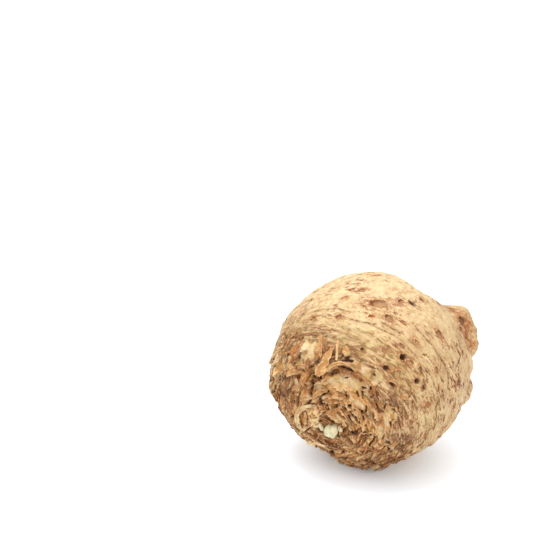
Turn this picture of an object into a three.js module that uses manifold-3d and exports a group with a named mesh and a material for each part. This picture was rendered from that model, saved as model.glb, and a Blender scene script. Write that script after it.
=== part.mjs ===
// A whole celeriac, trimmed for market and lying on its side. The swollen root is one grown body: it carries
// the torn leaf bases round its crown, the pits where side roots were cut off, the knobs and cut stubs of the
// thick roots at its far end, and the flat spot that it rests on. A tuft of pale young stalks sits in its heart.
// Millimetres, +Z up. The origin is on the surface that the root rests on, under the middle of its box.
import * as THREE from "three";
import { ConvexGeometry } from "three/addons/geometries/ConvexGeometry.js";
import { mergeVertices } from "three/addons/utils/BufferGeometryUtils.js";
import Module from "manifold-3d";

const DEG = Math.PI / 180;
const GOLDEN_ANGLE = 137.508 * DEG;

// Size and stance
const BODY_RADIUS = 55.5;
const BODY_CENTRE = new THREE.Vector3(-1.2, 1.0, 53.2);
const CROWN_YAW = 238 * DEG;
const CROWN_PITCH = -18 * DEG;
const ROOT_YAW = 60 * DEG;
const ROOT_PITCH = 4 * DEG;
const BODY_GRID = { round: 50, along: 44, crowding: 0.45 };
const SMOOTHING = 0.15;

// The picture that shows the root: camera height, the pixel of the body's middle, and the size of a pixel. Pixels
// of features are moved a little towards the middle for the nearness of that side, as if seen from far away.
const VIEW_ELEVATION = 18 * DEG;
const VIEW_PIXEL = { x: 372, y: 369, size: 0.573 };

// The form, as heights above the mean radius, each spread round a pixel of the picture. A blunt one is flat on top.
const LUMPS = [
  { x: 465, y: 317, height: 9.5, spread: 10 * DEG, blunt: 3.2 },
  { x: 472, y: 344, height: 8.0, spread: 8.0 * DEG, blunt: 3.2 },
  { x: 471, y: 391, height: 4.5, spread: 8.0 * DEG, blunt: 3.2 },
  { x: 425, y: 286, height: -5.0, spread: 14 * DEG },
  { x: 429, y: 450, height: -3.5, spread: 15 * DEG },
  { x: 401, y: 463, height: -3.0, spread: 13 * DEG },
  { x: 277, y: 384, height: 1.6, spread: 20 * DEG },
  { x: 320, y: 452, height: -3.0, spread: 17 * DEG },
  { x: 316, y: 350, height: 3.2, spread: 9.0 * DEG },
];
const CROWN_FLAT = { height: -3.4, spread: 40 * DEG };
const SETTLING = { height: 1.5, spread: 22 * DEG };
const ROOT_END_TAPER = { height: -4.5, spread: 34 * DEG };
const SWELLING = { count: 14, low: 2.0, high: 5.5, height: 0.9 };
const HEART_HOLLOW = { height: -3.0, spread: 13 * DEG };

// Leaf bases in a spiral from the shoulder of the root to its heart. The outer ones have left only a ridge.
const LEAF_COUNT = 64;
const LEAF_ANGLES = { outer: 82 * DEG, inner: 17 * DEG, easing: 0.72 };
const HUSK_ANGLE = 51 * DEG;
const LEAF_ARC = { short: 8, long: 16 };
const RIDGE = { low: 1.1, high: 2.3, outside: 6.0, inside: 3.0, soft: 1.2 };
const HUSK = { low: 3.5, high: 7.5, sunk: 3.2, footThickness: 1.8, tipThickness: 0.8, segments: 3 };
const FLOOR_GAP = 0.4;

// Two leaf bases that stand out in the picture: a long pointed flap, and the arched one above it
const SEEN_HUSKS = [
  { x: 335, y: 357, arc: 11, height: 9, lean: 58 * DEG, bow: 8 * DEG },
  { x: 317, y: 332, arc: 13, height: 5, lean: 30 * DEG, bow: 9 * DEG },
];

// The tuft in the heart, the round socket that it grows in, and its two larger stalks: a bud and a hollow stub
const HEART = { x: 314, y: 427, radius: 11.5, depth: 9.0, gap: 0.35, stalks: 5, sides: 14 };
const BUD = { x: 324, y: 432, radius: 4.4, height: 3.4 };
const HOLLOW_STUB = { x: 306, y: 425, arc: 5.5, height: 3.6 };

// Pits of cut side roots. The first ones are where the picture shows them, with their radius in millimetres.
const SEEN_PITS = [
  { x: 373, y: 301, radius: 5.2 },
  { x: 375, y: 276, radius: 2.3 },
  { x: 405, y: 302, radius: 2.4 },
  { x: 429, y: 299, radius: 2.4 },
  { x: 443, y: 312, radius: 1.9 },
  { x: 430, y: 332, radius: 2.8 },
  { x: 381, y: 315, radius: 2.6 },
  { x: 393, y: 350, radius: 2.2 },
  { x: 405, y: 373, radius: 2.0 },
  { x: 412, y: 379, radius: 1.8 },
  { x: 425, y: 363, radius: 2.0 },
  { x: 409, y: 363, radius: 2.0 },
  { x: 417, y: 395, radius: 2.4 },
  { x: 450, y: 377, radius: 2.2 },
  { x: 443, y: 395, radius: 1.8 },
  { x: 377, y: 360, radius: 2.0 },
  { x: 392, y: 341, radius: 2.0 },
  { x: 384, y: 369, radius: 2.4 },
  { x: 365, y: 313, radius: 2.0 },
  { x: 440, y: 420, radius: 2.2 },
];
const HIDDEN_PITS = { count: 16, nearest: 52 * DEG, furthest: 140 * DEG, small: 1.7, large: 3.2, apart: 10 * DEG };
const PIT = { depth: 1.1, oval: 0.65, sides: 7 };

// Cut stubs of thick roots, and broken thin rootlets, round the root end
const STUBS = { count: 13, first: 4 * DEG, last: 33 * DEG, thin: 2.6, thick: 6.6, low: 1.8, high: 5.0, sides: 9 };
const ROOTLETS = { count: 7, first: 9 * DEG, last: 36 * DEG, thin: 1.0, thick: 1.4, low: 3.0, high: 6.0, sides: 5 };
const ROOT_FLARE = [1.7, 1.35, 1.0, 0.86];

// A seeded draw between 0 and 1, the same on every run.
function drawsFrom(seed) {
  let state = seed;
  return () => {
    state = (state * 16807) % 2147483647;
    return state / 2147483647;
  };
}

function between(low, high, share) {
  return low + (high - low) * share;
}

// Directions from the middle of the body
function heading(yaw, pitch) {
  return new THREE.Vector3(
    Math.cos(pitch) * Math.cos(yaw),
    Math.cos(pitch) * Math.sin(yaw),
    Math.sin(pitch),
  );
}

const UP = new THREE.Vector3(0, 0, 1);
const CROWN = heading(CROWN_YAW, CROWN_PITCH);
const ROOT_END = heading(ROOT_YAW, ROOT_PITCH);
const CROWN_SIDE = new THREE.Vector3().crossVectors(UP, CROWN).normalize();
const CROWN_OVER = new THREE.Vector3().crossVectors(CROWN, CROWN_SIDE);

// The direction at an angle from the crown, turned round it.
function direction(fromCrown, turn) {
  return new THREE.Vector3()
    .addScaledVector(CROWN, Math.cos(fromCrown))
    .addScaledVector(CROWN_SIDE, Math.sin(fromCrown) * Math.cos(turn))
    .addScaledVector(CROWN_OVER, Math.sin(fromCrown) * Math.sin(turn));
}

function angleFromCrown(toward) {
  return Math.acos(THREE.MathUtils.clamp(toward.dot(CROWN), -1, 1));
}

function turnRoundCrown(toward) {
  return Math.atan2(toward.dot(CROWN_OVER), toward.dot(CROWN_SIDE));
}

// The direction in which the camera sees a pixel of the body.
function seenAt({ x, y }) {
  const across = ((x - VIEW_PIXEL.x) * VIEW_PIXEL.size) / BODY_RADIUS;
  const over = ((VIEW_PIXEL.y - y) * VIEW_PIXEL.size) / BODY_RADIUS;
  const near = Math.sqrt(Math.max(0, 1 - across * across - over * over));
  return new THREE.Vector3(
    across,
    over * Math.sin(VIEW_ELEVATION) - near * Math.cos(VIEW_ELEVATION),
    over * Math.cos(VIEW_ELEVATION) + near * Math.sin(VIEW_ELEVATION),
  ).normalize();
}

// Height of a rounded lump at an angle from its middle.
function lump({ height, spread, blunt = 2 }, angle) {
  return height * Math.exp(-((angle / spread) ** blunt));
}

// Slow swells over the whole body, as a sum of seeded waves.
function makeWaves({ count, low, high }, draw) {
  return Array.from({ length: count }, () => {
    const z = 2 * draw() - 1;
    const turn = 2 * Math.PI * draw();
    const flat = Math.sqrt(1 - z * z);
    const pace = between(low, high, draw());
    return {
      run: new THREE.Vector3(flat * Math.cos(turn), flat * Math.sin(turn), z).multiplyScalar(pace),
      start: 2 * Math.PI * draw(),
    };
  });
}

function makeLeaves(draw) {
  return Array.from({ length: LEAF_COUNT }, (_, i) => {
    const share = (i / (LEAF_COUNT - 1)) ** LEAF_ANGLES.easing;
    const fromCrown = between(LEAF_ANGLES.outer, LEAF_ANGLES.inner, share) + (draw() - 0.5) * 4 * DEG;
    const turn = i * GOLDEN_ANGLE + (draw() - 0.5) * 24 * DEG;
    const arc = between(LEAF_ARC.short, LEAF_ARC.long, draw());
    return {
      fromCrown,
      turn,
      half: Math.min(1.1, arc / (BODY_RADIUS * Math.sin(fromCrown))),
      bow: between(1, 6, draw()) * DEG,
      ridge: between(RIDGE.low, RIDGE.high, draw()),
      height: between(HUSK.low, HUSK.high, draw()),
      lean: between(10, 62, draw()) * DEG,
      torn: Array.from({ length: HUSK.segments + 1 }, () => between(0.55, 1.0, draw())),
    };
  });
}

// A leaf base that the picture shows.
function seenLeaf({ x, y, arc, height, lean, bow }) {
  const toward = seenAt({ x, y });
  const fromCrown = angleFromCrown(toward);
  return {
    fromCrown,
    turn: turnRoundCrown(toward),
    half: arc / (BODY_RADIUS * Math.sin(fromCrown)),
    bow,
    ridge: RIDGE.high,
    height,
    lean,
    torn: Array.from({ length: HUSK.segments + 1 }, () => 1),
  };
}

const WAVES = makeWaves(SWELLING, drawsFrom(4021));
const LEAVES = [...makeLeaves(drawsFrom(977)), ...SEEN_HUSKS.map(seenLeaf)];
const PLACED_LUMPS = LUMPS.map((form) => ({ ...form, toward: seenAt(form) }));

// The ridge that a leaf base leaves: a rim that drops sharply on the crown's side of its curved line.
function ridgeHeight(leaf, fromCrown, turn) {
  const across = Math.atan2(Math.sin(turn - leaf.turn), Math.cos(turn - leaf.turn)) / leaf.half;
  if (Math.abs(across) >= 1) return 0;
  const offset = (fromCrown - leaf.fromCrown - leaf.bow * across * across) * BODY_RADIUS;
  const outside = 0.5 + 0.5 * Math.tanh(offset / RIDGE.soft);
  const rim = outside * Math.exp(-Math.max(offset, 0) / RIDGE.outside);
  const foot = 0.5 * (1 - outside) * Math.exp(Math.min(offset, 0) / RIDGE.inside);
  return leaf.ridge * (1 - across * across) * (rim - foot);
}

// Distance from the body's middle to its skin.
function skinRadius(toward) {
  const fromCrown = angleFromCrown(toward);
  const turn = turnRoundCrown(toward);
  let radius = BODY_RADIUS;
  for (const form of PLACED_LUMPS) radius += lump(form, toward.angleTo(form.toward));
  radius += lump(SETTLING, Math.acos(THREE.MathUtils.clamp(-toward.z, -1, 1)));
  radius += lump(ROOT_END_TAPER, toward.angleTo(ROOT_END));
  radius += lump(CROWN_FLAT, fromCrown);
  radius += lump(HEART_HOLLOW, fromCrown);
  for (const wave of WAVES) {
    radius += (SWELLING.height / Math.sqrt(SWELLING.count)) * Math.cos(wave.run.dot(toward) + wave.start);
  }
  for (const leaf of LEAVES) radius += ridgeHeight(leaf, fromCrown, turn);
  return radius;
}

function skinPoint(toward) {
  return toward.clone().multiplyScalar(skinRadius(toward)).add(BODY_CENTRE);
}

// Closed geometry to manifold solid and back
const wasm = await Module();
wasm.setup();

function solidOf(geometry) {
  const bare = geometry.clone();
  bare.deleteAttribute("normal");
  bare.deleteAttribute("uv");
  const merged = mergeVertices(bare, 1e-4);
  return new wasm.Manifold(
    new wasm.Mesh({
      numProp: 3,
      vertProperties: merged.getAttribute("position").array,
      triVerts: new Uint32Array(merged.index.array),
    }),
  );
}

function geometryOf(solid) {
  const mesh = solid.getMesh();
  const geometry = new THREE.BufferGeometry();
  geometry.setAttribute("position", new THREE.BufferAttribute(new Float32Array(mesh.vertProperties), 3));
  geometry.setIndex(new THREE.BufferAttribute(new Uint32Array(mesh.triVerts), 1));
  geometry.computeVertexNormals();
  return geometry;
}

// The outer body of a union, solid inside: without the pockets that overlapping blades shut in.
function outerBody(solid) {
  const bodies = solid.decompose();
  return bodies.sort((a, b) => b.volume() - a.volume())[0];
}

const UP_LOCAL = new THREE.Vector3(0, 1, 0);

// Turns a shape that stands along +Y so that it stands on a place, along an outward direction.
function standOn(geometry, place, outward) {
  const turned = new THREE.Quaternion().setFromUnitVectors(UP_LOCAL, outward);
  return geometry.applyQuaternion(turned).translate(place.x, place.y, place.z);
}

// The swollen body: rings of points round the crown, closer together near it, pushed out to the skin.
function bodySolid() {
  const ball = new THREE.SphereGeometry(1, BODY_GRID.round, BODY_GRID.along);
  const places = ball.getAttribute("position");
  for (let i = 0; i < places.count; i++) {
    const even = new THREE.Vector3().fromBufferAttribute(places, i);
    const fromCrown = Math.acos(THREE.MathUtils.clamp(even.y, -1, 1));
    const drawn = fromCrown - BODY_GRID.crowding * Math.sin(fromCrown);
    const skin = skinPoint(direction(drawn, Math.atan2(-even.z, even.x)));
    places.setXYZ(i, skin.x, skin.y, skin.z);
  }
  return solidOf(ball);
}

// A torn leaf base: a thin curved blade that wraps part of the way round the crown and leans in over it.
function bladeSolid(leaf, { sunk, footThickness, tipThickness, segments }) {
  const sections = [];
  for (let j = 0; j <= segments; j++) {
    const across = (2 * j) / segments - 1;
    const outward = direction(leaf.fromCrown + leaf.bow * across * across, leaf.turn + leaf.half * across);
    const inward = CROWN.clone().addScaledVector(outward, -CROWN.dot(outward)).normalize();
    const foot = skinPoint(outward).addScaledVector(outward, -sunk);
    const rise = sunk + leaf.height * (1 - 0.7 * across * across) * leaf.torn[j];
    const tip = foot
      .clone()
      .addScaledVector(outward, rise * Math.cos(leaf.lean))
      .addScaledVector(inward, rise * Math.sin(leaf.lean));
    tip.z = Math.max(tip.z, FLOOR_GAP);
    sections.push([
      foot.clone().addScaledVector(inward, -footThickness / 2),
      foot.clone().addScaledVector(inward, footThickness / 2),
      tip.clone().addScaledVector(inward, tipThickness / 2),
      tip.clone().addScaledVector(inward, -tipThickness / 2),
    ]);
  }
  const lengths = sections.slice(1).map((section, j) => new ConvexGeometry([...sections[j], ...section]));
  return wasm.Manifold.union(lengths.map(solidOf));
}

function huskSolids() {
  return LEAVES.filter((leaf) => leaf.fromCrown < HUSK_ANGLE).map((leaf) => bladeSolid(leaf, HUSK));
}

// Shallow pits where side roots were cut away.
function placePits() {
  const pits = SEEN_PITS.map((pit) => ({ toward: seenAt(pit), radius: pit.radius }));
  const draw = drawsFrom(5501);
  const total = pits.length + HIDDEN_PITS.count;
  while (pits.length < total) {
    const fromCrown = between(HIDDEN_PITS.nearest, HIDDEN_PITS.furthest, Math.sqrt(draw()));
    const toward = direction(fromCrown, 2 * Math.PI * draw());
    const radius = between(HIDDEN_PITS.small, HIDDEN_PITS.large, draw() ** 2);
    const crowded = pits.some((pit) => pit.toward.angleTo(toward) < HIDDEN_PITS.apart);
    if (!crowded) pits.push({ toward, radius });
  }
  return pits;
}

function pitSolids() {
  const draw = drawsFrom(612);
  return placePits().map(({ toward, radius }) => {
    const plug = new THREE.CylinderGeometry(radius * 1.1, radius * 0.7, 2 * PIT.depth, PIT.sides);
    plug.scale(1, 1, PIT.oval).rotateY(Math.PI * draw());
    return solidOf(standOn(plug, skinPoint(toward), toward));
  });
}

// A root cut off short: it flares into the skin, is a little oval, and ends in a slanting cut.
function rootSolid({ radius, proud, sides, oval, slant }) {
  const sunk = 1.5 * radius + 1.5;
  const stub = new THREE.CylinderGeometry(radius, radius, proud + sunk, sides, ROOT_FLARE.length - 1);
  stub.translate(0, (proud - sunk) / 2, 0);
  const places = stub.getAttribute("position");
  for (let i = 0; i < places.count; i++) {
    const share = (places.getY(i) + sunk) / (proud + sunk);
    const flare = ROOT_FLARE[Math.round(share * (ROOT_FLARE.length - 1))];
    const cut = share > 0.99 ? slant * places.getX(i) : 0;
    places.setXYZ(i, places.getX(i) * flare, places.getY(i) + cut, places.getZ(i) * flare * oval);
  }
  return solidOf(stub);
}

// Root stubs spread by the golden angle round the root end. The thick ones are cut shortest.
function rootSolids({ count, first, last, thin, thick, low, high, sides }, draw) {
  const over = new THREE.Vector3().crossVectors(ROOT_END, UP).normalize();
  const beside = new THREE.Vector3().crossVectors(ROOT_END, over);
  return Array.from({ length: count }, (_, i) => {
    const fromEnd = between(first, last, Math.sqrt((i + 0.5) / count));
    const turn = i * GOLDEN_ANGLE + draw() * 0.7;
    const toward = ROOT_END.clone()
      .multiplyScalar(Math.cos(fromEnd))
      .addScaledVector(over, Math.sin(fromEnd) * Math.cos(turn))
      .addScaledVector(beside, Math.sin(fromEnd) * Math.sin(turn));
    const share = draw();
    const radius = between(thin, thick, share ** 1.5);
    const proud = between(high, low, share) * between(0.7, 1, draw());
    const oval = between(0.75, 1, draw());
    const slant = between(-0.35, 0.35, draw());
    const lean = new THREE.Vector3(draw() - 0.5, draw() - 0.5, draw() - 0.5).multiplyScalar(0.5);
    const stub = rootSolid({ radius, proud, sides, oval, slant });
    const turned = new THREE.Quaternion().setFromUnitVectors(UP_LOCAL, toward.clone().add(lean).normalize());
    const stand = new THREE.Matrix4().compose(skinPoint(toward), turned, new THREE.Vector3(1, 1, 1));
    return stub.transform(stand.elements);
  });
}

// The tuft of young stalks: a round plug in the heart, a bud, and curved stalk stubs that stand round it.
const HEART_TOWARD = seenAt(HEART);
const HEART_FOOT = skinPoint(HEART_TOWARD).addScaledVector(HEART_TOWARD, -HEART.depth);

function heartSolid() {
  const draw = drawsFrom(31);
  const plug = new THREE.CylinderGeometry(HEART.radius * 0.97, HEART.radius * 0.8, HEART.depth, HEART.sides);
  plug.translate(0, HEART.depth / 2, 0);
  const bud = new THREE.SphereGeometry(BUD.radius, 9, 6).scale(1, BUD.height / BUD.radius, 0.8);
  const pieces = [
    solidOf(standOn(plug, HEART_FOOT, HEART_TOWARD)),
    solidOf(standOn(bud, skinPoint(seenAt(BUD)), HEART_TOWARD)),
  ];
  const blade = { ...HUSK, footThickness: 2.2, tipThickness: 1.4 };
  pieces.push(bladeSolid(seenLeaf({ ...HOLLOW_STUB, lean: 0.1, bow: 0 }), blade));
  for (let i = 0; i < HEART.stalks; i++) {
    const stalk = {
      fromCrown: between(4, 7, draw()) * DEG,
      turn: i * GOLDEN_ANGLE,
      half: between(0.4, 0.7, draw()),
      bow: 0,
      height: between(2.0, 4.0, draw()),
      lean: 0.1,
      torn: Array.from({ length: HUSK.segments + 1 }, () => between(0.75, 1.0, draw())),
    };
    pieces.push(bladeSolid(stalk, blade));
  }
  return outerBody(wasm.Manifold.union(pieces).intersect(heartRoom(0)).simplify(SMOOTHING / 3));
}

// Room for the tuft, from the bottom of its socket out past the tips of the husks.
function heartRoom(gap) {
  const length = HEART.depth + 20;
  const room = new THREE.CylinderGeometry(HEART.radius + gap, HEART.radius + gap, length, HEART.sides);
  room.translate(0, length / 2 - gap, 0);
  return solidOf(standOn(room, HEART_FOOT, HEART_TOWARD));
}

function cormSolid() {
  const roots = [...rootSolids(STUBS, drawsFrom(86)), ...rootSolids(ROOTLETS, drawsFrom(1207))];
  const grown = wasm.Manifold.union([bodySolid(), ...huskSolids(), ...roots]);
  const floor = solidOf(new THREE.BoxGeometry(400, 400, 100).translate(0, 0, -50));
  const trimmed = grown.subtract(wasm.Manifold.union([...pitSolids(), heartRoom(HEART.gap), floor]));
  return outerBody(trimmed.simplify(SMOOTHING));
}

// A node for each colour: the brown-skinned root and the pale green tuft.
function piece(name, solid, colour, roughness) {
  const material = new THREE.MeshStandardMaterial({ color: new THREE.Color(...colour), roughness, metalness: 0 });
  const mesh = new THREE.Mesh(geometryOf(solid), material);
  mesh.name = name;
  return mesh;
}

const root = new THREE.Group();
root.add(piece("corm", cormSolid(), [0.66, 0.47, 0.29], 0.75));
root.add(piece("heart_shoots", heartSolid(), [0.62, 0.64, 0.42], 0.55));
export default root;
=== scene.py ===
# Looks of the whole celeriac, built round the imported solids. Lengths are in millimetres until a mesh is made.
# The skin uses the same form as the solids, with finer rings, pits and wrinkles raised on it. The torn leaf
# bases are thin sheets and shreds that stand on that skin, and the tuft in the heart has its own piece.
import math

import bpy
import numpy as np
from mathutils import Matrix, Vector


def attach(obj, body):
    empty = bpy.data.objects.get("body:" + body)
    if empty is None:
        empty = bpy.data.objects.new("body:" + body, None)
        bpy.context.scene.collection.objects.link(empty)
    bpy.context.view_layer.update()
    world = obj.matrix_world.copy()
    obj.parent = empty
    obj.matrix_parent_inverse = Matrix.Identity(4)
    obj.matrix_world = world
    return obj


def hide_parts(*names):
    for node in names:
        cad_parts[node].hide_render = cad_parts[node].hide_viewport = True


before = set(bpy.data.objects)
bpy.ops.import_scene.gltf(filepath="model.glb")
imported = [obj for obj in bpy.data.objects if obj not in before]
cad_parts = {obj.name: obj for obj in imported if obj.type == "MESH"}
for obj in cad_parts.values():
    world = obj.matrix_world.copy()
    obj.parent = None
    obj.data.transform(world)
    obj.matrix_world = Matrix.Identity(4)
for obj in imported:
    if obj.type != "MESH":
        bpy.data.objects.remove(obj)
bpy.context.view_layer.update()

MM = 0.001
DEG = math.pi / 180
GOLDEN_ANGLE = 137.508 * DEG

# Size and stance, as in the solids
BODY_RADIUS = 55.5
BODY_CENTRE = np.array([-1.2, 1.0, 53.2])
CROWN_YAW = 238 * DEG
CROWN_PITCH = -18 * DEG
ROOT_YAW = 60 * DEG
ROOT_PITCH = 4 * DEG

# The picture: camera height, the pixel of the body's middle, the size of a pixel, and the picture's side
VIEW_ELEVATION = 18 * DEG
VIEW_PIXEL = {"x": 372, "y": 369, "size": 0.573}
PICTURE_SIDE = 533
LENS = 85
SENSOR = 36

# Soft room light: dim at the height of the horizon and bright overhead, and brighter on the left than on
# the right
ROOM = {"low": 0.05, "high": 0.95, "dim": 0.42, "bright": 1.62, "left": 1.48, "right": 0.70}

# Lamps in metres, each aimed at the body's middle
LAMPS = [
    {"name": "key_light", "place": (-0.12, 0.02, 0.95), "size": 0.50, "power": 2.75},
    {"name": "front_light", "place": (0.30, -0.75, 0.42), "size": 0.60, "power": 1.5},
]

# The table top and the low pale wall round it, in metres
FLOOR_HALF = 12.0
FAR_WALL = {"radius": 8.0, "height": 0.35, "sides": 72}

# The form, as heights above the mean radius, each spread round a pixel of the picture
LUMPS = [
    {"x": 465, "y": 317, "height": 9.5, "spread": 10, "blunt": 3.2},
    {"x": 472, "y": 344, "height": 8.0, "spread": 8.0, "blunt": 3.2},
    {"x": 471, "y": 391, "height": 4.5, "spread": 8.0, "blunt": 3.2},
    {"x": 425, "y": 286, "height": -5.0, "spread": 14, "blunt": 2},
    {"x": 429, "y": 450, "height": -3.5, "spread": 15, "blunt": 2},
    {"x": 401, "y": 463, "height": -3.0, "spread": 13, "blunt": 2},
    {"x": 277, "y": 384, "height": 1.6, "spread": 20, "blunt": 2},
    {"x": 320, "y": 452, "height": -3.0, "spread": 17, "blunt": 2},
    {"x": 316, "y": 350, "height": 3.2, "spread": 9.0, "blunt": 2},
]

# The brown strip on the knob, and skin with more and with fewer marks round a pixel, reach in degrees
KNOB_STAIN = {"width": 3.2, "line": [(456.5, 312), (461, 319), (465, 326), (467.5, 336), (470.5, 346)]}
WORN_SKIN = {"x": 446, "y": 396, "reach": 20, "share": 0.22}
CLEAN_SKIN = {"x": 426, "y": 302, "reach": 22, "share": 0.7}

# Wide changes of the form, as heights and spreads in degrees
NOTCH_FILL = {"x": 466, "y": 364, "height": 2.8, "spread": 7.5}
CROWN_FLAT = {"height": -3.4, "spread": 40}
SETTLING = {"height": 1.5, "spread": 22}
ROOT_END_TAPER = {"height": -4.5, "spread": 34}
HEART_HOLLOW = {"height": -3.0, "spread": 13}
SWELLING = {"seed": 4021, "count": 14, "low": 2.0, "high": 5.5, "height": 0.9}

# Leaf bases in a spiral from the shoulder of the root to its heart
LEAF_SEED = 977
LEAF_COUNT = 64
LEAF_OUTER = 82 * DEG
LEAF_INNER = 17 * DEG
LEAF_EASING = 0.72
RIDGE = {"low": 1.1, "high": 2.3, "outside": 6.0, "inside": 3.0}
RIDGE_SOFT = 0.55

# Draws that the solids spend on each leaf base besides those used here
LEAF_SPARE_DRAWS = 6

# The ragged border of the torn crown and the tones that lean to one side of it, as angles in degrees
CROWN_BORDER = {"mean": 56, "reach": 12, "side": 205}
PALE_SIDE = 25
GREEN_BAND = {"mean": 61, "spread": 12, "side": 95}
OUTER_PALE_SIDE = 165

# The torn leaf bases that cover the crown like worn shingles, and how finely their ground is drawn
PLATES = {
    "seed": 311,
    "count": 300,
    "nearest": 7,
    "furthest": 70,
    "short": 3.0,
    "long": 9.5,
    "low": 0.6,
    "high": 2.4,
}
CROWN_GRID = {"round": 540, "along": 178, "furthest": 76}

# Cut stubs of thick roots, and broken thin rootlets, round the root end
STUBS = {
    "seed": 86,
    "count": 13,
    "sides": 30,
    "levels": 16,
    "first": 4,
    "last": 33,
    "thin": 2.6,
    "thick": 6.6,
    "low": 1.4,
    "high": 3.8,
}
ROOTLETS = {
    "seed": 1207,
    "count": 7,
    "sides": 12,
    "levels": 10,
    "first": 9,
    "last": 36,
    "thin": 1.0,
    "thick": 1.4,
    "low": 3.0,
    "high": 6.0,
}
ROOT_FLARE = [1.7, 1.35, 1.0, 0.86]

# Fineness of the skin: squares along each side of a cube that is blown up into a ball
SKIN_SQUARES = 128

# Least heights above the table of the skin and of what lies on it
SKIN_FLOOR = 0.02
SHEET_FLOOR = 0.3

# Root scars that the picture shows: pixel, long radius in mm, width over length, lean in degrees, depth
# and tone. Tone 0 is a dark hole, with painted shade in its middle, 0.5 a brown scar and 1 an orange one.
SEEN_SCARS = [
    (379, 304, 5.0, 0.55, 20, 1.3, 0.40),
    (376, 275, 2.6, 0.45, 5, 0.9, 0.60),
    (352, 289, 1.6, 0.50, 10, 0.5, 0.70),
    (362, 290, 2.2, 0.60, 10, 0.6, 0.75),
    (345, 298, 1.8, 0.45, 0, 0.4, 0.90),
    (365, 306, 1.6, 0.45, 20, 0.6, 0.50),
    (401, 302, 1.8, 0.70, 25, 0.9, 0.40),
    (412, 304, 2.6, 0.60, 30, 1.3, 0.15),
    (422, 300, 1.9, 0.60, 35, 1.0, 0.30),
    (433, 299, 2.8, 0.55, 25, 1.4, 0.10),
    (451, 309, 2.2, 0.50, 25, 1.0, 0.45),
    (440, 335, 3.0, 0.62, 55, 1.1, 0.45),
    (372, 316, 1.9, 0.55, 0, 0.6, 1.00),
    (389, 318, 2.8, 0.70, 40, 1.2, 0.40),
    (396, 313, 1.5, 0.60, 40, 0.7, 0.40),
    (403, 322, 1.7, 0.60, 30, 0.7, 0.55),
    (339, 317, 1.9, 0.80, 0, 0.7, 0.80),
    (314, 319, 1.7, 0.70, 0, 0.6, 0.65),
    (316, 292, 0.9, 0.80, 0, 0.6, 0.10),
    (403, 357, 1.9, 0.90, 60, 1.9, 0.00),
    (402, 346, 1.7, 0.70, 40, 0.9, 0.40),
    (397, 345, 1.3, 0.70, 20, 0.7, 0.50),
    (389, 348, 1.3, 0.70, 50, 0.6, 0.45),
    (384, 350, 1.2, 0.70, 10, 0.6, 0.50),
    (362, 349, 1.0, 0.80, 10, 0.8, 0.15),
    (386, 368, 1.7, 0.80, 20, 1.1, 0.15),
    (410, 363, 2.2, 0.60, 10, 0.5, 0.70),
    (416, 343, 2.0, 0.50, 65, 0.7, 0.50),
    (421, 370, 1.8, 0.50, 70, 1.0, 0.25),
    (436, 370, 1.6, 0.80, 70, 0.9, 0.30),
    (416, 381, 1.6, 0.85, 60, 1.5, 0.00),
    (423, 387, 1.7, 0.65, 75, 1.3, 0.05),
    (427, 404, 2.3, 0.75, 60, 0.8, 0.95),
    (431, 399, 1.5, 0.50, 80, 0.8, 0.45),
    (437, 388, 1.0, 0.60, 80, 0.7, 0.20),
    (458, 382, 2.2, 0.70, 75, 1.2, 0.15),
    (451, 401, 1.7, 0.50, 75, 1.1, 0.05),
    (462, 354, 1.9, 0.50, 75, 0.7, 0.40),
    (453, 363, 1.4, 0.60, 75, 0.6, 0.45),
    (470, 378, 2.4, 0.60, 85, 0.7, 0.98),
    (446, 425, 2.4, 0.50, 75, 0.9, 0.45),
    (392, 384, 2.1, 0.50, 35, 1.3, 0.00),
    (462.5, 321, 2.5, 0.65, 60, 1.6, 0.21),
    (460.5, 329.5, 1.3, 0.60, 50, 1.0, 0.10),
    (467.5, 342, 3.4, 0.45, 75, 0.9, 0.60),
]
HIDDEN_SCARS = {
    "seed": 5501,
    "count": 110,
    "nearest": 50 * DEG,
    "furthest": 165 * DEG,
    "apart": 5.5 * DEG,
    "most_seen": -0.08,
    "small": 0.9,
    "large": 3.4,
}

# Edges of old leaf bases that the picture shows as thin dark lines, as pixels along each of them
SEEN_RINGS = [
    [(338, 314), (357, 322), (374, 326), (392, 334), (411, 350), (427, 372), (435, 389), (436, 404),
     (434, 420)],
    [(434, 420), (428, 435), (419, 444)],
    [(416, 329), (428, 342), (439, 355), (446, 366), (449, 377), (447, 388)],
    [(402, 384), (412, 392), (418, 402), (420, 410)],
    [(382, 322), (391, 327), (400, 334)],
    [(457, 349), (460, 355), (459, 362), (456, 368)],
    [(297, 341), (306, 335), (318, 331), (333, 331), (350, 336)],
    [(283, 322), (296, 309), (311, 300)],
    [(300, 318), (318, 311), (338, 309), (352, 312)],
]
RING_STEP = {"height": 0.32, "soft": 0.25, "reach": 3.0}
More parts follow.
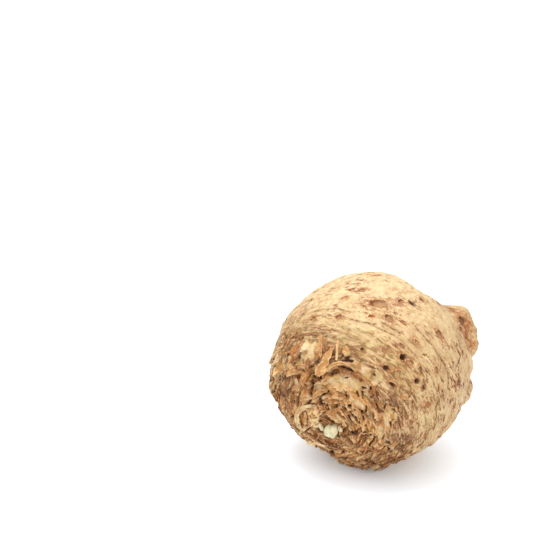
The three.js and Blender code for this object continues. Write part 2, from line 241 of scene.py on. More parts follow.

# Gaps between the torn leaf bases that the picture shows, painted dark as shade: half width in pixels, then
# pixels along each
SEEN_GAPS = [
    (0.5, (303, 337.5), (306, 335), (311, 333), (317, 332.5)),
    (0.8, (300, 340), (304, 337.8)),
    (0.9, (298, 342), (297, 345)),
    (0.8, (305.5, 342), (303.5, 346), (302.5, 350), (301.5, 354), (299.5, 358)),
    (0.9, (286, 345), (284.5, 348), (282.5, 351), (280.5, 353.5)),
    (1.0, (294, 348), (292, 348)),
    (1.1, (290.5, 350), (292, 352), (290, 354), (286.5, 356.5)),
    (1.0, (284.5, 356), (283.5, 358.5), (281.5, 361)),
    (0.7, (274.5, 357), (274.5, 359)),
    (0.5, (295.5, 355), (295, 359)),
    (0.5, (287.5, 361), (285.5, 365)),
    (0.7, (298.5, 364), (298, 368)),
    (0.5, (304, 361), (305, 363)),
    (0.9, (304, 369.5), (305, 370.5), (306.5, 373)),
    (0.8, (320, 358.5), (318.5, 361), (317.5, 363)),
    (0.6, (319.5, 363), (318.5, 365)),
    (1.2, (318.5, 371), (317.5, 373), (316, 376), (315, 378)),
    (1.6, (322, 376.5), (318, 378.5), (315, 380), (313.5, 383), (312.5, 387), (312, 391), (312.5, 394)),
    (1.0, (304.5, 382.5), (303, 386), (302, 389)),
    (1.0, (302, 391), (300, 394)),
    (0.8, (292, 377), (291, 380), (290.5, 384), (290.5, 389), (291.5, 392)),
    (1.0, (281, 375), (280.5, 378), (280, 381)),
    (0.6, (277.5, 385), (277, 388), (276, 392.5)),
    (0.5, (272.5, 388), (273, 392)),
    (0.6, (280, 391), (282, 395)),
    (0.6, (295, 390.5), (295, 392.5)),
    (0.8, (340.6, 342), (340.8, 348), (341, 354), (341.4, 360)),
    (0.8, (344, 355.5), (342.5, 358)),
    (0.8, (325.5, 356), (325.5, 358)),
    (0.5, (325, 345), (325.5, 350)),
    (0.7, (336, 361), (333, 362.5)),
    (0.7, (340, 366.5), (345, 367.5), (350, 369), (353, 371)),
    (1.8, (332, 373), (335, 371), (338, 371.5)),
    (0.8, (330, 390), (326, 392), (322.5, 394.5)),
    (1.8, (322, 396), (320.5, 399), (321, 402)),
    (0.7, (331, 396), (333.5, 397.5)),
    (0.5, (347.5, 390), (347.5, 394)),
    (0.5, (272, 400), (273.5, 405)),
    (0.6, (287.5, 399), (288, 403)),
    (0.8, (293, 400), (296, 401)),
    (0.6, (293, 402), (293.5, 406)),
    (0.6, (282, 407.5), (283.5, 411), (284.5, 414), (286.5, 419)),
    (1.8, (289, 412.5), (291, 415), (293, 418), (294, 420.5)),
    (1.0, (293, 410), (294.5, 418)),
    (0.7, (273, 415.5), (276, 417.5), (280, 421)),
    (0.7, (289, 421), (292, 423), (294.5, 424.5)),
    (0.7, (287, 427), (289.5, 430)),
    (0.5, (297.5, 410), (297.5, 415), (299, 419)),
    (0.9, (307, 404), (309, 401.5), (310.5, 400.5)),
    (0.6, (316, 405), (318, 409)),
    (0.8, (308.5, 417), (307.5, 419)),
    (0.7, (306, 423), (309, 424)),
    (0.8, (312, 414), (314, 415)),
    (0.7, (306.5, 430), (309, 427.5), (313, 425.8), (317, 423.5), (320, 422)),
    (0.7, (320, 423), (319.5, 427), (319, 430)),
    (0.9, (314, 430), (316, 431)),
    (0.9, (318.5, 432), (322, 432)),
    (0.6, (320.5, 435.5), (324, 436)),
    (0.8, (297.5, 428), (299, 432), (301, 434), (304, 437)),
    (0.8, (305, 442), (309, 444.5)),
    (0.9, (330, 405), (329.5, 409)),
    (0.7, (328.5, 402), (327, 405)),
    (0.9, (334.5, 403), (338, 404), (340, 403.5)),
    (0.7, (336.5, 406), (336.5, 408)),
    (1.3, (344.5, 406), (346, 408)),
    (0.7, (343, 416), (345, 419)),
    (1.0, (349, 415), (349.5, 420)),
    (1.6, (340, 424), (343, 426.5), (347, 428.5), (344, 431)),
    (0.7, (325, 445), (330, 445)),
    (0.8, (342, 443), (347, 445)),
    (0.6, (323, 457), (328, 459.5)),
    (1.0, (345, 360.5), (349, 360), (353, 361)),
    (1.0, (348, 358), (351, 356), (353, 353.5)),
    (0.7, (356, 353), (357, 355)),
    (0.7, (356.5, 344), (357.5, 345)),
    (0.5, (354, 346.5), (357.5, 347.5)),
    (0.7, (350, 366), (353.5, 368.5)),
    (0.7, (350.5, 370), (351.5, 372)),
    (0.6, (346, 377), (348, 377)),
    (0.6, (383, 351), (386, 348.5)),
    (0.7, (374, 374), (375, 375)),
    (0.9, (395, 372), (393, 374), (391, 376), (389, 377)),
    (0.6, (396, 371), (395, 375), (396, 377)),
    (1.1, (391.5, 382.5), (396, 385)),
    (0.6, (384, 376), (387, 375.5)),
    (0.8, (363, 387), (366, 387.5)),
    (0.8, (370.5, 386), (371, 388)),
    (0.5, (367.5, 382), (369, 384)),
    (0.6, (346.5, 391), (347, 397)),
    (0.7, (357.5, 391), (359, 395)),
    (0.8, (363, 391), (363.5, 397)),
    (0.9, (371, 396), (373, 394)),
    (0.5, (377.5, 390), (379, 394)),
    (0.7, (381, 397), (383.5, 393), (386, 400)),
    (0.45, (401, 384), (404, 390)),
    (0.45, (406, 388), (411, 394), (417, 400), (420, 404)),
    (0.7, (401, 396), (402.5, 399)),
    (1.3, (351, 411), (353.5, 415), (357, 419), (359.5, 421)),
    (1.1, (349.5, 416), (351.5, 421)),
    (0.7, (355.5, 424), (356.5, 425)),
    (1.9, (351, 432), (354, 433), (356, 432)),
    (0.6, (355, 431), (359, 429), (362, 427.5)),
    (1.6, (350, 440), (354, 440)),
    (0.6, (357, 442), (360, 440), (364, 437)),
    (0.8, (362, 444.5), (366, 444)),
    (1.2, (362, 449), (365, 450.5), (369, 450)),
    (0.6, (357, 452), (361, 452)),
    (0.9, (369, 447), (371.5, 442), (374, 439), (375.5, 436), (374.5, 432)),
    (0.9, (375, 445), (377, 445)),
    (0.7, (371, 431), (372, 433)),
    (0.7, (366, 423), (368, 425)),
    (0.6, (374, 414), (375, 418), (380, 421)),
    (0.6, (370, 401), (371.5, 403)),
    (0.7, (384, 408), (386, 404)),
    (0.7, (390, 403), (391, 405)),
    (0.7, (393, 419), (390, 422), (391, 425)),
    (0.8, (394, 427), (395, 426)),
    (0.7, (391, 441), (394, 438), (397, 434)),
    (0.6, (387, 441), (391, 443)),
    (0.7, (383, 449), (385, 446), (391, 445)),
    (0.9, (377, 455), (381, 453)),
    (0.7, (368, 459), (371, 458), (374, 456.5)),
    (0.6, (383, 439), (385, 435)),
    (0.7, (400, 414.5), (402, 413), (403, 412)),
    (0.6, (410.5, 401), (411.5, 408), (412.5, 412)),
    (0.6, (401, 453), (405, 451)),
    (0.5, (414, 449), (416, 447)),
    (0.5, (423, 430), (425, 427)),
    (0.4, (431, 430), (429, 438), (426, 443)),
    (0.6, (355, 462), (361, 462)),
]
GAP_DEPTH = {"narrow": 1.0, "wide": 3.2}
DRAWN_GAPS = {"seed": 71, "count": 620, "nearest": 7, "furthest": 70, "apart": 3.5}

# Smooth pale skin that the picture shows between the torn leaf bases: half width in pixels, then pixels along
PALE_PATCHES = [
    (4.5, (365, 352), (368, 358)),
    (4.0, (366, 370), (367, 374)),
    (4.0, (331, 382), (340, 380), (350, 381), (358, 386)),
    (3.2, (392, 389), (392, 395)),
    (3.0, (401, 374), (402, 381)),
    (5.5, (312, 343), (311, 354)),
    (2.5, (283, 365), (284, 368)),
    (3.0, (372, 380), (376, 381)),
    (3.4, (381, 429), (383, 436)),
    (2.6, (386, 414), (387, 424)),
    (3.0, (319, 385), (321, 388)),
    (2.4, (337, 415), (340, 419)),
    (2.2, (312, 420), (318, 418)),
    (3.0, (357, 401), (362, 405)),
    (2.4, (296, 381), (298, 384)),
    (2.0, (290, 358), (292, 361)),
]

# Lobes of the bud in the heart: pixel, half sizes across, along and out in mm, lift, lean in the picture, and
# tone from mint to cream
BUD_LOBES = [
    {"x": 331.4, "y": 431.2, "sizes": (3.3, 5.0, 2.6), "lift": 1.5, "lean": 8, "tone": 0.1},
    {"x": 335.2, "y": 429.8, "sizes": (2.3, 5.0, 2.6), "lift": 1.8, "lean": 20, "tone": 0.5},
    {"x": 341.4, "y": 428.8, "sizes": (1.2, 2.6, 1.3), "lift": 0.8, "lean": -8, "tone": 1.0},
    {"x": 323.4, "y": 426.0, "sizes": (0.9, 3.7, 1.6), "lift": 1.3, "lean": -22, "tone": 1.0},
    {"x": 334.0, "y": 433.4, "sizes": (1.5, 3.6, 1.8), "lift": 1.5, "lean": 24, "tone": 0.3},
]

# The cup of a cut young stalk beside the bud, drawn like the torn sheets
CUP_SHEETS = [
    (0.45, (1.0, 1.4), (25, 40), 0.3, 1.0, 0.0, [
        (312.8, 404.6, 1.0), (308, 405.3, 1.7), (304.2, 407, 2.2), (301, 410.2, 2.4), (300.2, 414.5, 2.3),
        (301, 419.5, 2.1), (302.5, 424.5, 1.9), (304.6, 429, 1.2)]),
    (0.80, (1.0, 1.4), (20, 30), 0.3, 1.0, 0.0, [
        (302.3, 430.5, 0.8), (304.5, 434.8, 1.6), (308.5, 438, 1.9), (314, 439.8, 1.9), (320, 441.2, 1.7),
        (327.5, 442.6, 0.9)]),
    (0.75, (0.8, 1.6), (15, 30), 0.3, 1.0, 0.0, [
        (303.8, 429.5, 0.9), (307.5, 426.3, 1.6), (312, 423.2, 2.0), (316.5, 420.8, 2.2),
        (320.5, 419.6, 1.0)]),
    (0.60, (0.6, 1.0), (0, 15), 0.3, 0.6, 0.0, [
        (313.5, 426.3, 0.8), (317, 425, 1.8), (320.4, 423.4, 1.2)]),
    (0.70, (0.4, 0.8), (0, 20), 0.3, 0.5, 0.0, [
        (309, 417, 0.8), (313, 419.5, 1.8), (317, 419, 1.6), (320, 417.5, 0.8)]),
]

# Corners along and across the sheets that the picture shows, and their thickness in mm
SEEN_FINE = {"along": 26, "across": 9, "cup": 7}
SEEN_THICK = 0.7

# Torn sheets that the picture shows: tone from brown to straw, lift in mm and tilt in degrees at both ends,
# curl, strength of the painted highlight on the rim, share of amber, and pixels along the sheet with its half
# width in pixels at each
SEEN_SHEETS = [
    (1.15, (0.8, 4.4), (4, 12), 0.9, 1.0, 0.0, [
        (334, 349, 1.4), (332.3, 354, 2.4), (330, 359, 3.2), (327.4, 364, 3.9), (325, 368.5, 4.3),
        (323.6, 372.5, 4.0), (323, 375.5, 2.4)]),
    (1.10, (1.0, 3.4), (12, 30), 0.5, 1.0, 0.0, [
        (355.5, 370, 0.6), (351.5, 366, 1.1), (346, 363.2, 1.5), (340, 363, 1.9), (335, 365, 2.0),
        (331, 368.5, 1.4), (327, 373, 0.7)]),
    (1.30, (1.0, 2.2), (20, 45), 0.2, 1.0, 0.0, [
        (338.3, 341, 0.7), (338.5, 347, 1.0), (338.8, 354, 1.2), (339.2, 361, 1.1)]),
    (0.80, (1.0, 1.6), (20, 35), 0.3, 1.0, 0.0, [
        (320.5, 337, 0.8), (322.2, 342, 1.3), (323, 348, 1.4), (323.2, 353, 1.2), (324.6, 358, 0.8)]),
    (0.55, (0.8, 1.4), (10, 20), 0.3, 0.5, 0.0, [
        (323, 338, 0.7), (326.5, 341.5, 1.0), (328.5, 346, 1.0), (329, 351, 0.8)]),
    (0.50, (0.6, 2.2), (20, 55), 0.2, 0.4, 1.0, [
        (304.3, 340.5, 0.7), (301.5, 346.5, 1.3), (299, 352.5, 1.6), (296.3, 359, 1.3), (295, 364, 0.7)]),
    (0.90, (0.8, 1.4), (20, 40), 0.2, 0.8, 0.0, [
        (299.5, 345, 0.6), (296.8, 349.5, 1.1), (294.5, 354, 0.7)]),
    (0.60, (0.5, 3.6), (0, 10), 0.7, 0.9, 0.0, [
        (311, 359, 1.6), (311.5, 366, 2.9), (311.6, 373, 2.8), (310, 380, 2.3), (308.2, 386, 1.4),
        (307.4, 389, 0.5)]),
    (0.92, (0.6, 2.0), (30, 50), 0.3, 1.0, 0.0, [
        (306.5, 378, 0.6), (303.6, 382, 1.0), (301.4, 386, 0.9), (300, 390, 0.5)]),
    (0.92, (0.8, 1.6), (20, 30), 0.3, 1.0, 0.0, [
        (300.5, 384.5, 0.6), (297.8, 387.3, 1.1), (295.5, 389.5, 0.6)]),
    (0.86, (1.4, 2.4), (5, 25), 0.6, 1.0, 0.0, [
        (331, 388.5, 0.8), (326, 389.5, 2.0), (321.5, 391, 2.6), (317, 395, 1.4)]),
    (0.90, (1.0, 1.8), (20, 60), 0.4, 1.0, 0.0, [
        (332, 409, 0.7), (331, 405, 1.0), (334.5, 401.8, 1.0), (341, 401, 0.7)]),
    (0.82, (0.8, 2.2), (10, 35), 0.4, 0.9, 0.0, [
        (335.5, 411, 0.8), (340, 407.3, 1.3), (344.5, 402.5, 0.9)]),
    (0.78, (0.8, 1.8), (10, 30), 0.4, 0.8, 0.0, [
        (326, 414, 0.6), (330, 411, 1.3), (333.5, 408, 0.8)]),
    (0.80, (0.6, 2.2), (10, 40), 0.5, 0.8, 0.0, [
        (355, 404, 0.8), (359, 410, 1.6), (361.3, 416, 1.5), (362, 421, 0.7)]),
    (0.60, (1.0, 2.0), (20, 60), 0.5, 0.9, 0.0, [
        (375.5, 433, 0.7), (372, 429.5, 1.1), (366, 428.5, 1.3), (360.5, 432, 1.3), (358, 437, 1.0)]),
    (0.70, (1.0, 1.6), (20, 60), 0.4, 0.9, 0.0, [
        (371, 437, 0.6), (367, 433.5, 1.0), (362.5, 435.5, 1.1), (361, 440, 0.8)]),
    (0.85, (0.8, 1.8), (20, 60), 0.3, 1.0, 0.0, [
        (341, 435, 0.6), (344.5, 438, 1.0), (348.5, 435.5, 0.6)]),
    (0.85, (0.6, 1.8), (20, 70), 0.3, 0.8, 0.0, [
        (340.5, 424, 0.6), (341.2, 428, 1.3), (341, 432, 0.8)]),
    (0.75, (0.5, 1.4), (10, 40), 0.4, 0.9, 0.0, [
        (388, 372, 0.6), (394, 369, 1.2), (400, 369, 1.0), (402, 373, 0.6)]),
    (0.80, (0.5, 1.6), (10, 40), 0.4, 0.9, 0.0, [
        (398, 372, 0.6), (397.5, 377, 1.2), (399, 382, 0.7)]),
    (0.85, (0.5, 1.2), (10, 30), 0.3, 1.0, 0.0, [
        (388.5, 380, 0.5), (393.5, 381.5, 1.0), (398.5, 384.5, 0.6)]),
]

# Seeded sheets and shreds: corners along and across each, thickness, zone in degrees from the crown, least
# distance to a gap, how torn the place must be, spread of the course in degrees, and spans of length, width,
# lift and rise in mm and of tilt in degrees
DRAWN_SHEETS = {
    "long_sheets": {
        "seed": 103,
        "count": 110,
        "sections": 26,
        "across": 5,
        "thick": 0.6,
        "zone": (44, 70),
        "clear": 1.2,
        "torn": 0.4,
        "disorder": 5,
        "length": (10, 26),
        "width": (0.6, 1.3),
        "bend": 0.25,
        "lift": (-0.5, 0.1),
        "raise": (0, 0.5),
        "tilt": (5, 35),
    },
    "wide_sheets": {
        "seed": 104,
        "count": 90,
        "sections": 13,
        "across": 7,
        "thick": 0.6,
        "zone": (9, 68),
        "clear": 2.5,
        "torn": 0.5,
        "disorder": 24,
        "length": (4, 12),
        "width": (0.9, 2.2),
        "bend": 0.7,
        "lift": (-0.7, 0.5),
        "raise": (0, 1.4),
        "tilt": (5, 50),
    },
    "narrow_sheets": {
        "seed": 102,
        "count": 420,
        "sections": 9,
        "across": 3,
        "thick": 0.5,
        "zone": (7, 70),
        "clear": 2.0,
        "torn": 0.6,
        "disorder": 34,
        "length": (2.5, 8),
        "width": (0.5, 1.1),
        "bend": 1.0,
        "lift": (-0.2, 0.8),
        "raise": (0, 1.2),
        "tilt": (0, 50),
    },
}


# Seeded draws between 0 and 1, the same as in the solids
def draws_from(seed):
    state = seed

    def draw():
        nonlocal state
        state = (state * 16807) % 2147483647
        return state / 2147483647

    return draw


def between(low, high, share):
    return low + (high - low) * share


def unit(v):
    return v / np.linalg.norm(v, axis=-1, keepdims=True)


def smooth_step(low, high, x):
    t = np.clip((x - low) / (high - low), 0, 1)
    return t * t * (3 - 2 * t)


# Directions from the middle of the body
def heading(yaw, pitch):
    return np.array([math.cos(pitch) * math.cos(yaw), math.cos(pitch) * math.sin(yaw), math.sin(pitch)])


UP = np.array([0.0, 0.0, 1.0])
CROWN = heading(CROWN_YAW, CROWN_PITCH)
ROOT_END = heading(ROOT_YAW, ROOT_PITCH)
CROWN_SIDE = unit(np.cross(UP, CROWN))
CROWN_OVER = np.cross(CROWN, CROWN_SIDE)
VIEW_RIGHT = np.array([1.0, 0.0, 0.0])
VIEW_UP = np.array([0.0, math.sin(VIEW_ELEVATION), math.cos(VIEW_ELEVATION)])
VIEW_NEAR = np.array([0.0, -math.cos(VIEW_ELEVATION), math.sin(VIEW_ELEVATION)])


def direction(from_crown, turn):
    """The direction at an angle from the crown, turned round it."""
    from_crown = np.asarray(from_crown, float)[..., None]
    turn = np.asarray(turn, float)[..., None]
    beside = CROWN_SIDE * np.cos(turn) + CROWN_OVER * np.sin(turn)
    return CROWN * np.cos(from_crown) + beside * np.sin(from_crown)


def crown_angles(toward):
    """Angle from the crown and turn round it."""
    from_crown = np.arccos(np.clip(toward @ CROWN, -1, 1))
    return from_crown, np.arctan2(toward @ CROWN_OVER, toward @ CROWN_SIDE)


def seen_at(x, y):
    """The direction in which the camera sees a pixel of the body."""
    across = (x - VIEW_PIXEL["x"]) * VIEW_PIXEL["size"] / BODY_RADIUS
    over = (VIEW_PIXEL["y"] - y) * VIEW_PIXEL["size"] / BODY_RADIUS
    near = math.sqrt(max(0.0, 1 - across * across - over * over))
    return unit(VIEW_RIGHT * across + VIEW_UP * over + VIEW_NEAR * near)


CAMERA_DISTANCE = PICTURE_SIDE * VIEW_PIXEL["size"] * LENS / SENSOR
CAMERA_AIM = BODY_CENTRE + VIEW_PIXEL["size"] * (
    VIEW_RIGHT * (PICTURE_SIDE / 2 - VIEW_PIXEL["x"]) + VIEW_UP * (VIEW_PIXEL["y"] - PICTURE_SIDE / 2)
)
CAMERA_PLACE = CAMERA_AIM + VIEW_NEAR * CAMERA_DISTANCE

# A line of sight is followed from before the body's middle to just behind it, in body radii
SIGHT_SPAN = (-1.3, 0.2)
SIGHT_STEPS = 400


def seen_on(x, y):
    """The direction of the skin that the camera sees at a pixel: where its line of sight meets the form."""
    across = (x - PICTURE_SIDE / 2) * VIEW_PIXEL["size"]
    over = (PICTURE_SIDE / 2 - y) * VIEW_PIXEL["size"]
    ray = unit(VIEW_RIGHT * across + VIEW_UP * over - VIEW_NEAR * CAMERA_DISTANCE)
    start = CAMERA_PLACE - BODY_CENTRE
    halfway = -(start @ ray)
    steps = halfway + np.linspace(*SIGHT_SPAN, SIGHT_STEPS) * BODY_RADIUS
    places = start + ray * steps[:, None]
    reach = np.linalg.norm(places, axis=1)
    depth = form_radius(places / reach[:, None]) - reach
    first = np.argmax(depth > 0) if np.any(depth > 0) else np.argmax(depth)
    return places[first] / reach[first]


def angle_between(toward, other):
    return np.arccos(np.clip(toward @ other, -1, 1))


# Smooth noise on a lattice of seeded values, from -1 to 1
LATTICE_SIZE = 4096
LATTICE_MASK = LATTICE_SIZE - 1
LATTICE = np.random.default_rng(7).random(LATTICE_SIZE) * 2 - 1
LATTICE_ORDER = np.random.default_rng(8).permutation(LATTICE_SIZE)


def noise(places, scale, seed=0):
    """Value noise at places, with one lump for each 'scale' millimetres."""
    p = places / scale + seed * 17.31
    cell = np.floor(p).astype(np.int64)
    t = p - cell
    t = t * t * (3 - 2 * t)
    total = 0
    for corner in range(8):
        step = np.array([corner & 1, corner >> 1 & 1, corner >> 2 & 1])
        at = cell + step
        mixed = LATTICE_ORDER[at[..., 0] & LATTICE_MASK]
        mixed = LATTICE_ORDER[(mixed + at[..., 1]) & LATTICE_MASK]
        mixed = LATTICE_ORDER[(mixed + at[..., 2]) & LATTICE_MASK]
        share = np.prod(np.where(step, t, 1 - t), axis=-1)
        total = total + LATTICE[mixed] * share
    return total


def layered_noise(places, scale, seed=0, layers=3):
    total = 0
    for layer in range(layers):
        total = total + noise(places, scale / 2**layer, seed + layer) / 2**layer
    return total / 1.5


# The form of the root
def make_waves(draw):
    runs, starts = [], []
    for _ in range(SWELLING["count"]):
        z = 2 * draw() - 1
        turn = 2 * math.pi * draw()
        flat = math.sqrt(1 - z * z)
        pace = between(SWELLING["low"], SWELLING["high"], draw())
        runs.append([flat * math.cos(turn) * pace, flat * math.sin(turn) * pace, z * pace])
        starts.append(2 * math.pi * draw())
    return np.array(runs), np.array(starts)


def make_leaves(draw):
    leaves = []
    for i in range(LEAF_COUNT):
        share = (i / (LEAF_COUNT - 1)) ** LEAF_EASING
        from_crown = between(LEAF_OUTER, LEAF_INNER, share) + (draw() - 0.5) * 4 * DEG
        turn = i * GOLDEN_ANGLE + (draw() - 0.5) * 24 * DEG
        arc = between(8, 16, draw())
        leaf = {
            "from_crown": from_crown,
            "turn": turn,
            "half": min(1.1, arc / (BODY_RADIUS * math.sin(from_crown))),
            "bow": between(1, 6, draw()) * DEG,
            "ridge": between(RIDGE["low"], RIDGE["high"], draw()),
        }
        for _ in range(LEAF_SPARE_DRAWS):
            draw()
        leaves.append(leaf)
    return leaves


WAVES = make_waves(draws_from(SWELLING["seed"]))
LEAVES = make_leaves(draws_from(LEAF_SEED))
PLACED_LUMPS = [(seen_at(lump["x"], lump["y"]), lump) for lump in LUMPS]


def rounded(height, spread, angle, blunt=2):
    return height * np.exp(-((angle / (spread * DEG)) ** blunt))


def form_radius(toward):
    """Distance from the body's middle to its skin, without rings."""
    radius = np.full(toward.shape[:-1], BODY_RADIUS)
    for place, lump in PLACED_LUMPS:
        radius += rounded(lump["height"], lump["spread"], angle_between(toward, place), lump["blunt"])
    radius += rounded(**SETTLING, angle=angle_between(toward, -UP))
    radius += rounded(**ROOT_END_TAPER, angle=angle_between(toward, ROOT_END))
    radius += rounded(**CROWN_FLAT, angle=angle_between(toward, CROWN))
    radius += rounded(**HEART_HOLLOW, angle=angle_between(toward, CROWN))
    runs, starts = WAVES
    swell = SWELLING["height"] / math.sqrt(SWELLING["count"])
    return radius + swell * np.cos(toward @ runs.T + starts).sum(axis=-1)


def ring_relief(toward, soft):
    """Height of the ridges that the leaf bases leave, and the distance to the nearest ridge's line."""
    from_crown, turn = crown_angles(toward)
    wander = noise(toward * BODY_RADIUS, 9, 5) * 0.9 + noise(toward * BODY_RADIUS, 3, 6) * 0.35
    height = np.zeros(toward.shape[:-1])
    line_gap = np.full(toward.shape[:-1], 9.0)
    for leaf in LEAVES:
        apart = turn - leaf["turn"]
        across = np.arctan2(np.sin(apart), np.cos(apart)) / leaf["half"]
        window = np.clip(1 - across * across, 0, 1)
        offset = (from_crown - leaf["from_crown"] - leaf["bow"] * across * across) * BODY_RADIUS + wander
        outside = 0.5 + 0.5 * np.tanh(offset / soft)
        rim = outside * np.exp(-np.maximum(offset, 0) / RIDGE["outside"])
        foot = 0.5 * (1 - outside) * np.exp(np.minimum(offset, 0) / RIDGE["inside"])
        height += leaf["ridge"] * window * (rim - foot)
        line_gap = np.minimum(line_gap, np.abs(offset + 0.3) + 2.5 * (1 - window) ** 2)
    return height, line_gap


def line_distance(places, line):
    """Signed distance to a line of points on the body: positive on the side away from the crown."""
    nearest = np.full(places.shape[:-1], 1e9)
    side = np.zeros(places.shape[:-1])
    for start, end in zip(line[:-1], line[1:]):
        along = end - start
        t = np.clip(((places - start) @ along) / (along @ along), 0, 1)
        gap = places - (start + t[:, None] * along)
        distance = np.linalg.norm(gap, axis=-1)
        closer = distance < nearest
        nearest = np.where(closer, distance, nearest)
        side = np.where(closer, np.sign(-(gap @ CROWN)), side)
    return nearest, side


def placed_strokes(strokes):
    """Strokes of the picture as half widths in mm and lines on the mean ball."""
    placed = []
    for half, *pixels in strokes:
        line = np.array([seen_on(x, y) for x, y in pixels]) * BODY_RADIUS
        placed.append((half * VIEW_PIXEL["size"], line))
    return placed


def stroke_share(places, half, line):
    """Places near a stroke, and their distance to it as a share of its half width."""
    middle = (line[0] + line[-1]) / 2
    reach = np.linalg.norm(line - middle, axis=1).max() + 5 * half
    near = np.nonzero(np.sum((places - middle) ** 2, axis=-1) < reach**2)
    if not len(near[0]):
        return near, np.zeros(0)
    return near, line_distance(places[near], line)[0] / half


def drawn_strokes(places_taken):
    """Seeded gaps that run round the crown, where the picture shows none."""
    rng = np.random.default_rng(DRAWN_GAPS["seed"])
    near, far = math.cos(DRAWN_GAPS["nearest"] * DEG), math.cos(DRAWN_GAPS["furthest"] * DEG)
    strokes = []
    share = np.linspace(-0.5, 0.5, 5)
    for _ in range(DRAWN_GAPS["count"]):
        from_crown = math.acos(rng.uniform(far, near))
        turn = rng.random() * 2 * math.pi
        toward = direction(from_crown, turn)
        if np.min(np.linalg.norm(places_taken - toward * BODY_RADIUS, axis=1)) < DRAWN_GAPS["apart"]:
            continue
        length = rng.uniform(2, 8) / BODY_RADIUS
        course = rng.normal(0, 22) * DEG
        outward = from_crown + length * share * math.sin(course) + rng.normal(0, 0.4) * length * share**2
        around = turn + length * share * math.cos(course) / math.sin(from_crown)
        strokes.append((rng.uniform(0.22, 0.75), direction(outward, around) * BODY_RADIUS))
    return strokes


def all_gaps():
    seen = placed_strokes(SEEN_GAPS)
    taken = np.concatenate([line for _, line in seen + PLACED_PATCHES])
    return seen + drawn_strokes(taken)


def patch_share(toward):
    """Distance to the nearest pale patch of the picture, as a share of its half width."""
    places = toward * BODY_RADIUS
    nearest = np.full(toward.shape[:-1], 9.0)
    for half, line in PLACED_PATCHES:
        near, share = stroke_share(places, half, line)
        nearest[near] = np.minimum(nearest[near], share)
    return nearest


def gap_fields(toward):
    """Depth of the gaps, the lips beside them, and how near the closest one is, which the material uses to
    paint shade in and round them.
    """
    places = toward * BODY_RADIUS
    wander = noise(places, 1.5, 101) * 0.5 + noise(places, 0.7, 102) * 0.3
    depth = np.zeros(toward.shape[:-1])
    lip = np.zeros(toward.shape[:-1])
    nearest = np.full(toward.shape[:-1], 9.0)
    for half, line in PLACED_GAPS:
        near, share = stroke_share(places, half, line)
        share = share + wander[near]
        wide = min(1.0, max(0.0, half - 0.22) / 0.8)
        deep = between(GAP_DEPTH["narrow"], GAP_DEPTH["wide"], wide)
        depth[near] = np.maximum(depth[near], deep * np.exp(-np.maximum(share, 0) ** 2 / 1.2))
        lip[near] = np.maximum(lip[near], 0.7 * half * np.exp(-(((share - 2.2) / 0.9) ** 2)))
        nearest[near] = np.minimum(nearest[near], share)
    return depth, lip, nearest


PLACED_PATCHES = placed_strokes(PALE_PATCHES)
PLACED_GAPS = all_gaps()


def skin_radius(toward):
    return form_radius(toward) + ring_relief(toward, RIDGE_SOFT)[0]


def skin_point(toward, lift=0.0):
    return BODY_CENTRE + toward * (skin_radius(toward) + lift)[..., None]


# Meshes
def add_piece(name, vertices, faces, material, fields):
    """A mesh in the row frame from places in millimetres, with its fields as attributes for the material."""
    mesh = bpy.data.meshes.new(name)
    mesh.from_pydata((np.asarray(vertices) * MM).tolist(), [], [list(face) for face in faces])
    for field, values in fields.items():
        values = np.asarray(values, float)
        if values.ndim == 2:
            mesh.attributes.new(field, "FLOAT_VECTOR", "POINT").data.foreach_set("vector", values.ravel())
        else:
            mesh.attributes.new(field, "FLOAT", "POINT").data.foreach_set("value", values)
    mesh.polygons.foreach_set("use_smooth", [True] * len(mesh.polygons))
    mesh.materials.append(material)
    mesh.update()
    piece = bpy.data.objects.new(name, mesh)
    bpy.context.scene.collection.objects.link(piece)
    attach(piece, "root")
    return piece


def ball_directions(squares):
    """Directions and square faces of a cube's grid blown up into a ball, with its seams joined."""
    steps = np.tan(np.linspace(-1, 1, squares + 1) * math.pi / 4)
    u, v = np.meshgrid(steps, steps, indexing="ij")
    one = np.ones_like(u)
    sides = [(one, u, v), (-one, v, u), (v, one, u), (u, -one, v), (u, v, one), (v, u, -one)]
    points = np.concatenate([np.stack(side, axis=-1).reshape(-1, 3) for side in sides])
    corner = np.arange((squares + 1) ** 2).reshape(squares + 1, squares + 1)
    quads = np.stack([corner[:-1, :-1], corner[1:, :-1], corner[1:, 1:], corner[:-1, 1:]], axis=-1)
    faces = np.concatenate([quads.reshape(-1, 4) + side * corner.size for side in range(6)])
    _, first, joined = np.unique(np.round(points, 6), axis=0, return_index=True, return_inverse=True)
    return unit(points[first]), joined.reshape(-1)[faces]


def tube(rows, columns):
    """Corner numbers of a grid that closes round on itself, and its square faces."""
    corner = np.arange(rows * columns).reshape(rows, columns)
    after = np.roll(corner, -1, axis=1)
    faces = np.stack([corner[:-1], corner[1:], after[1:], after[:-1]], axis=-1).reshape(-1, 4)
    return corner, faces


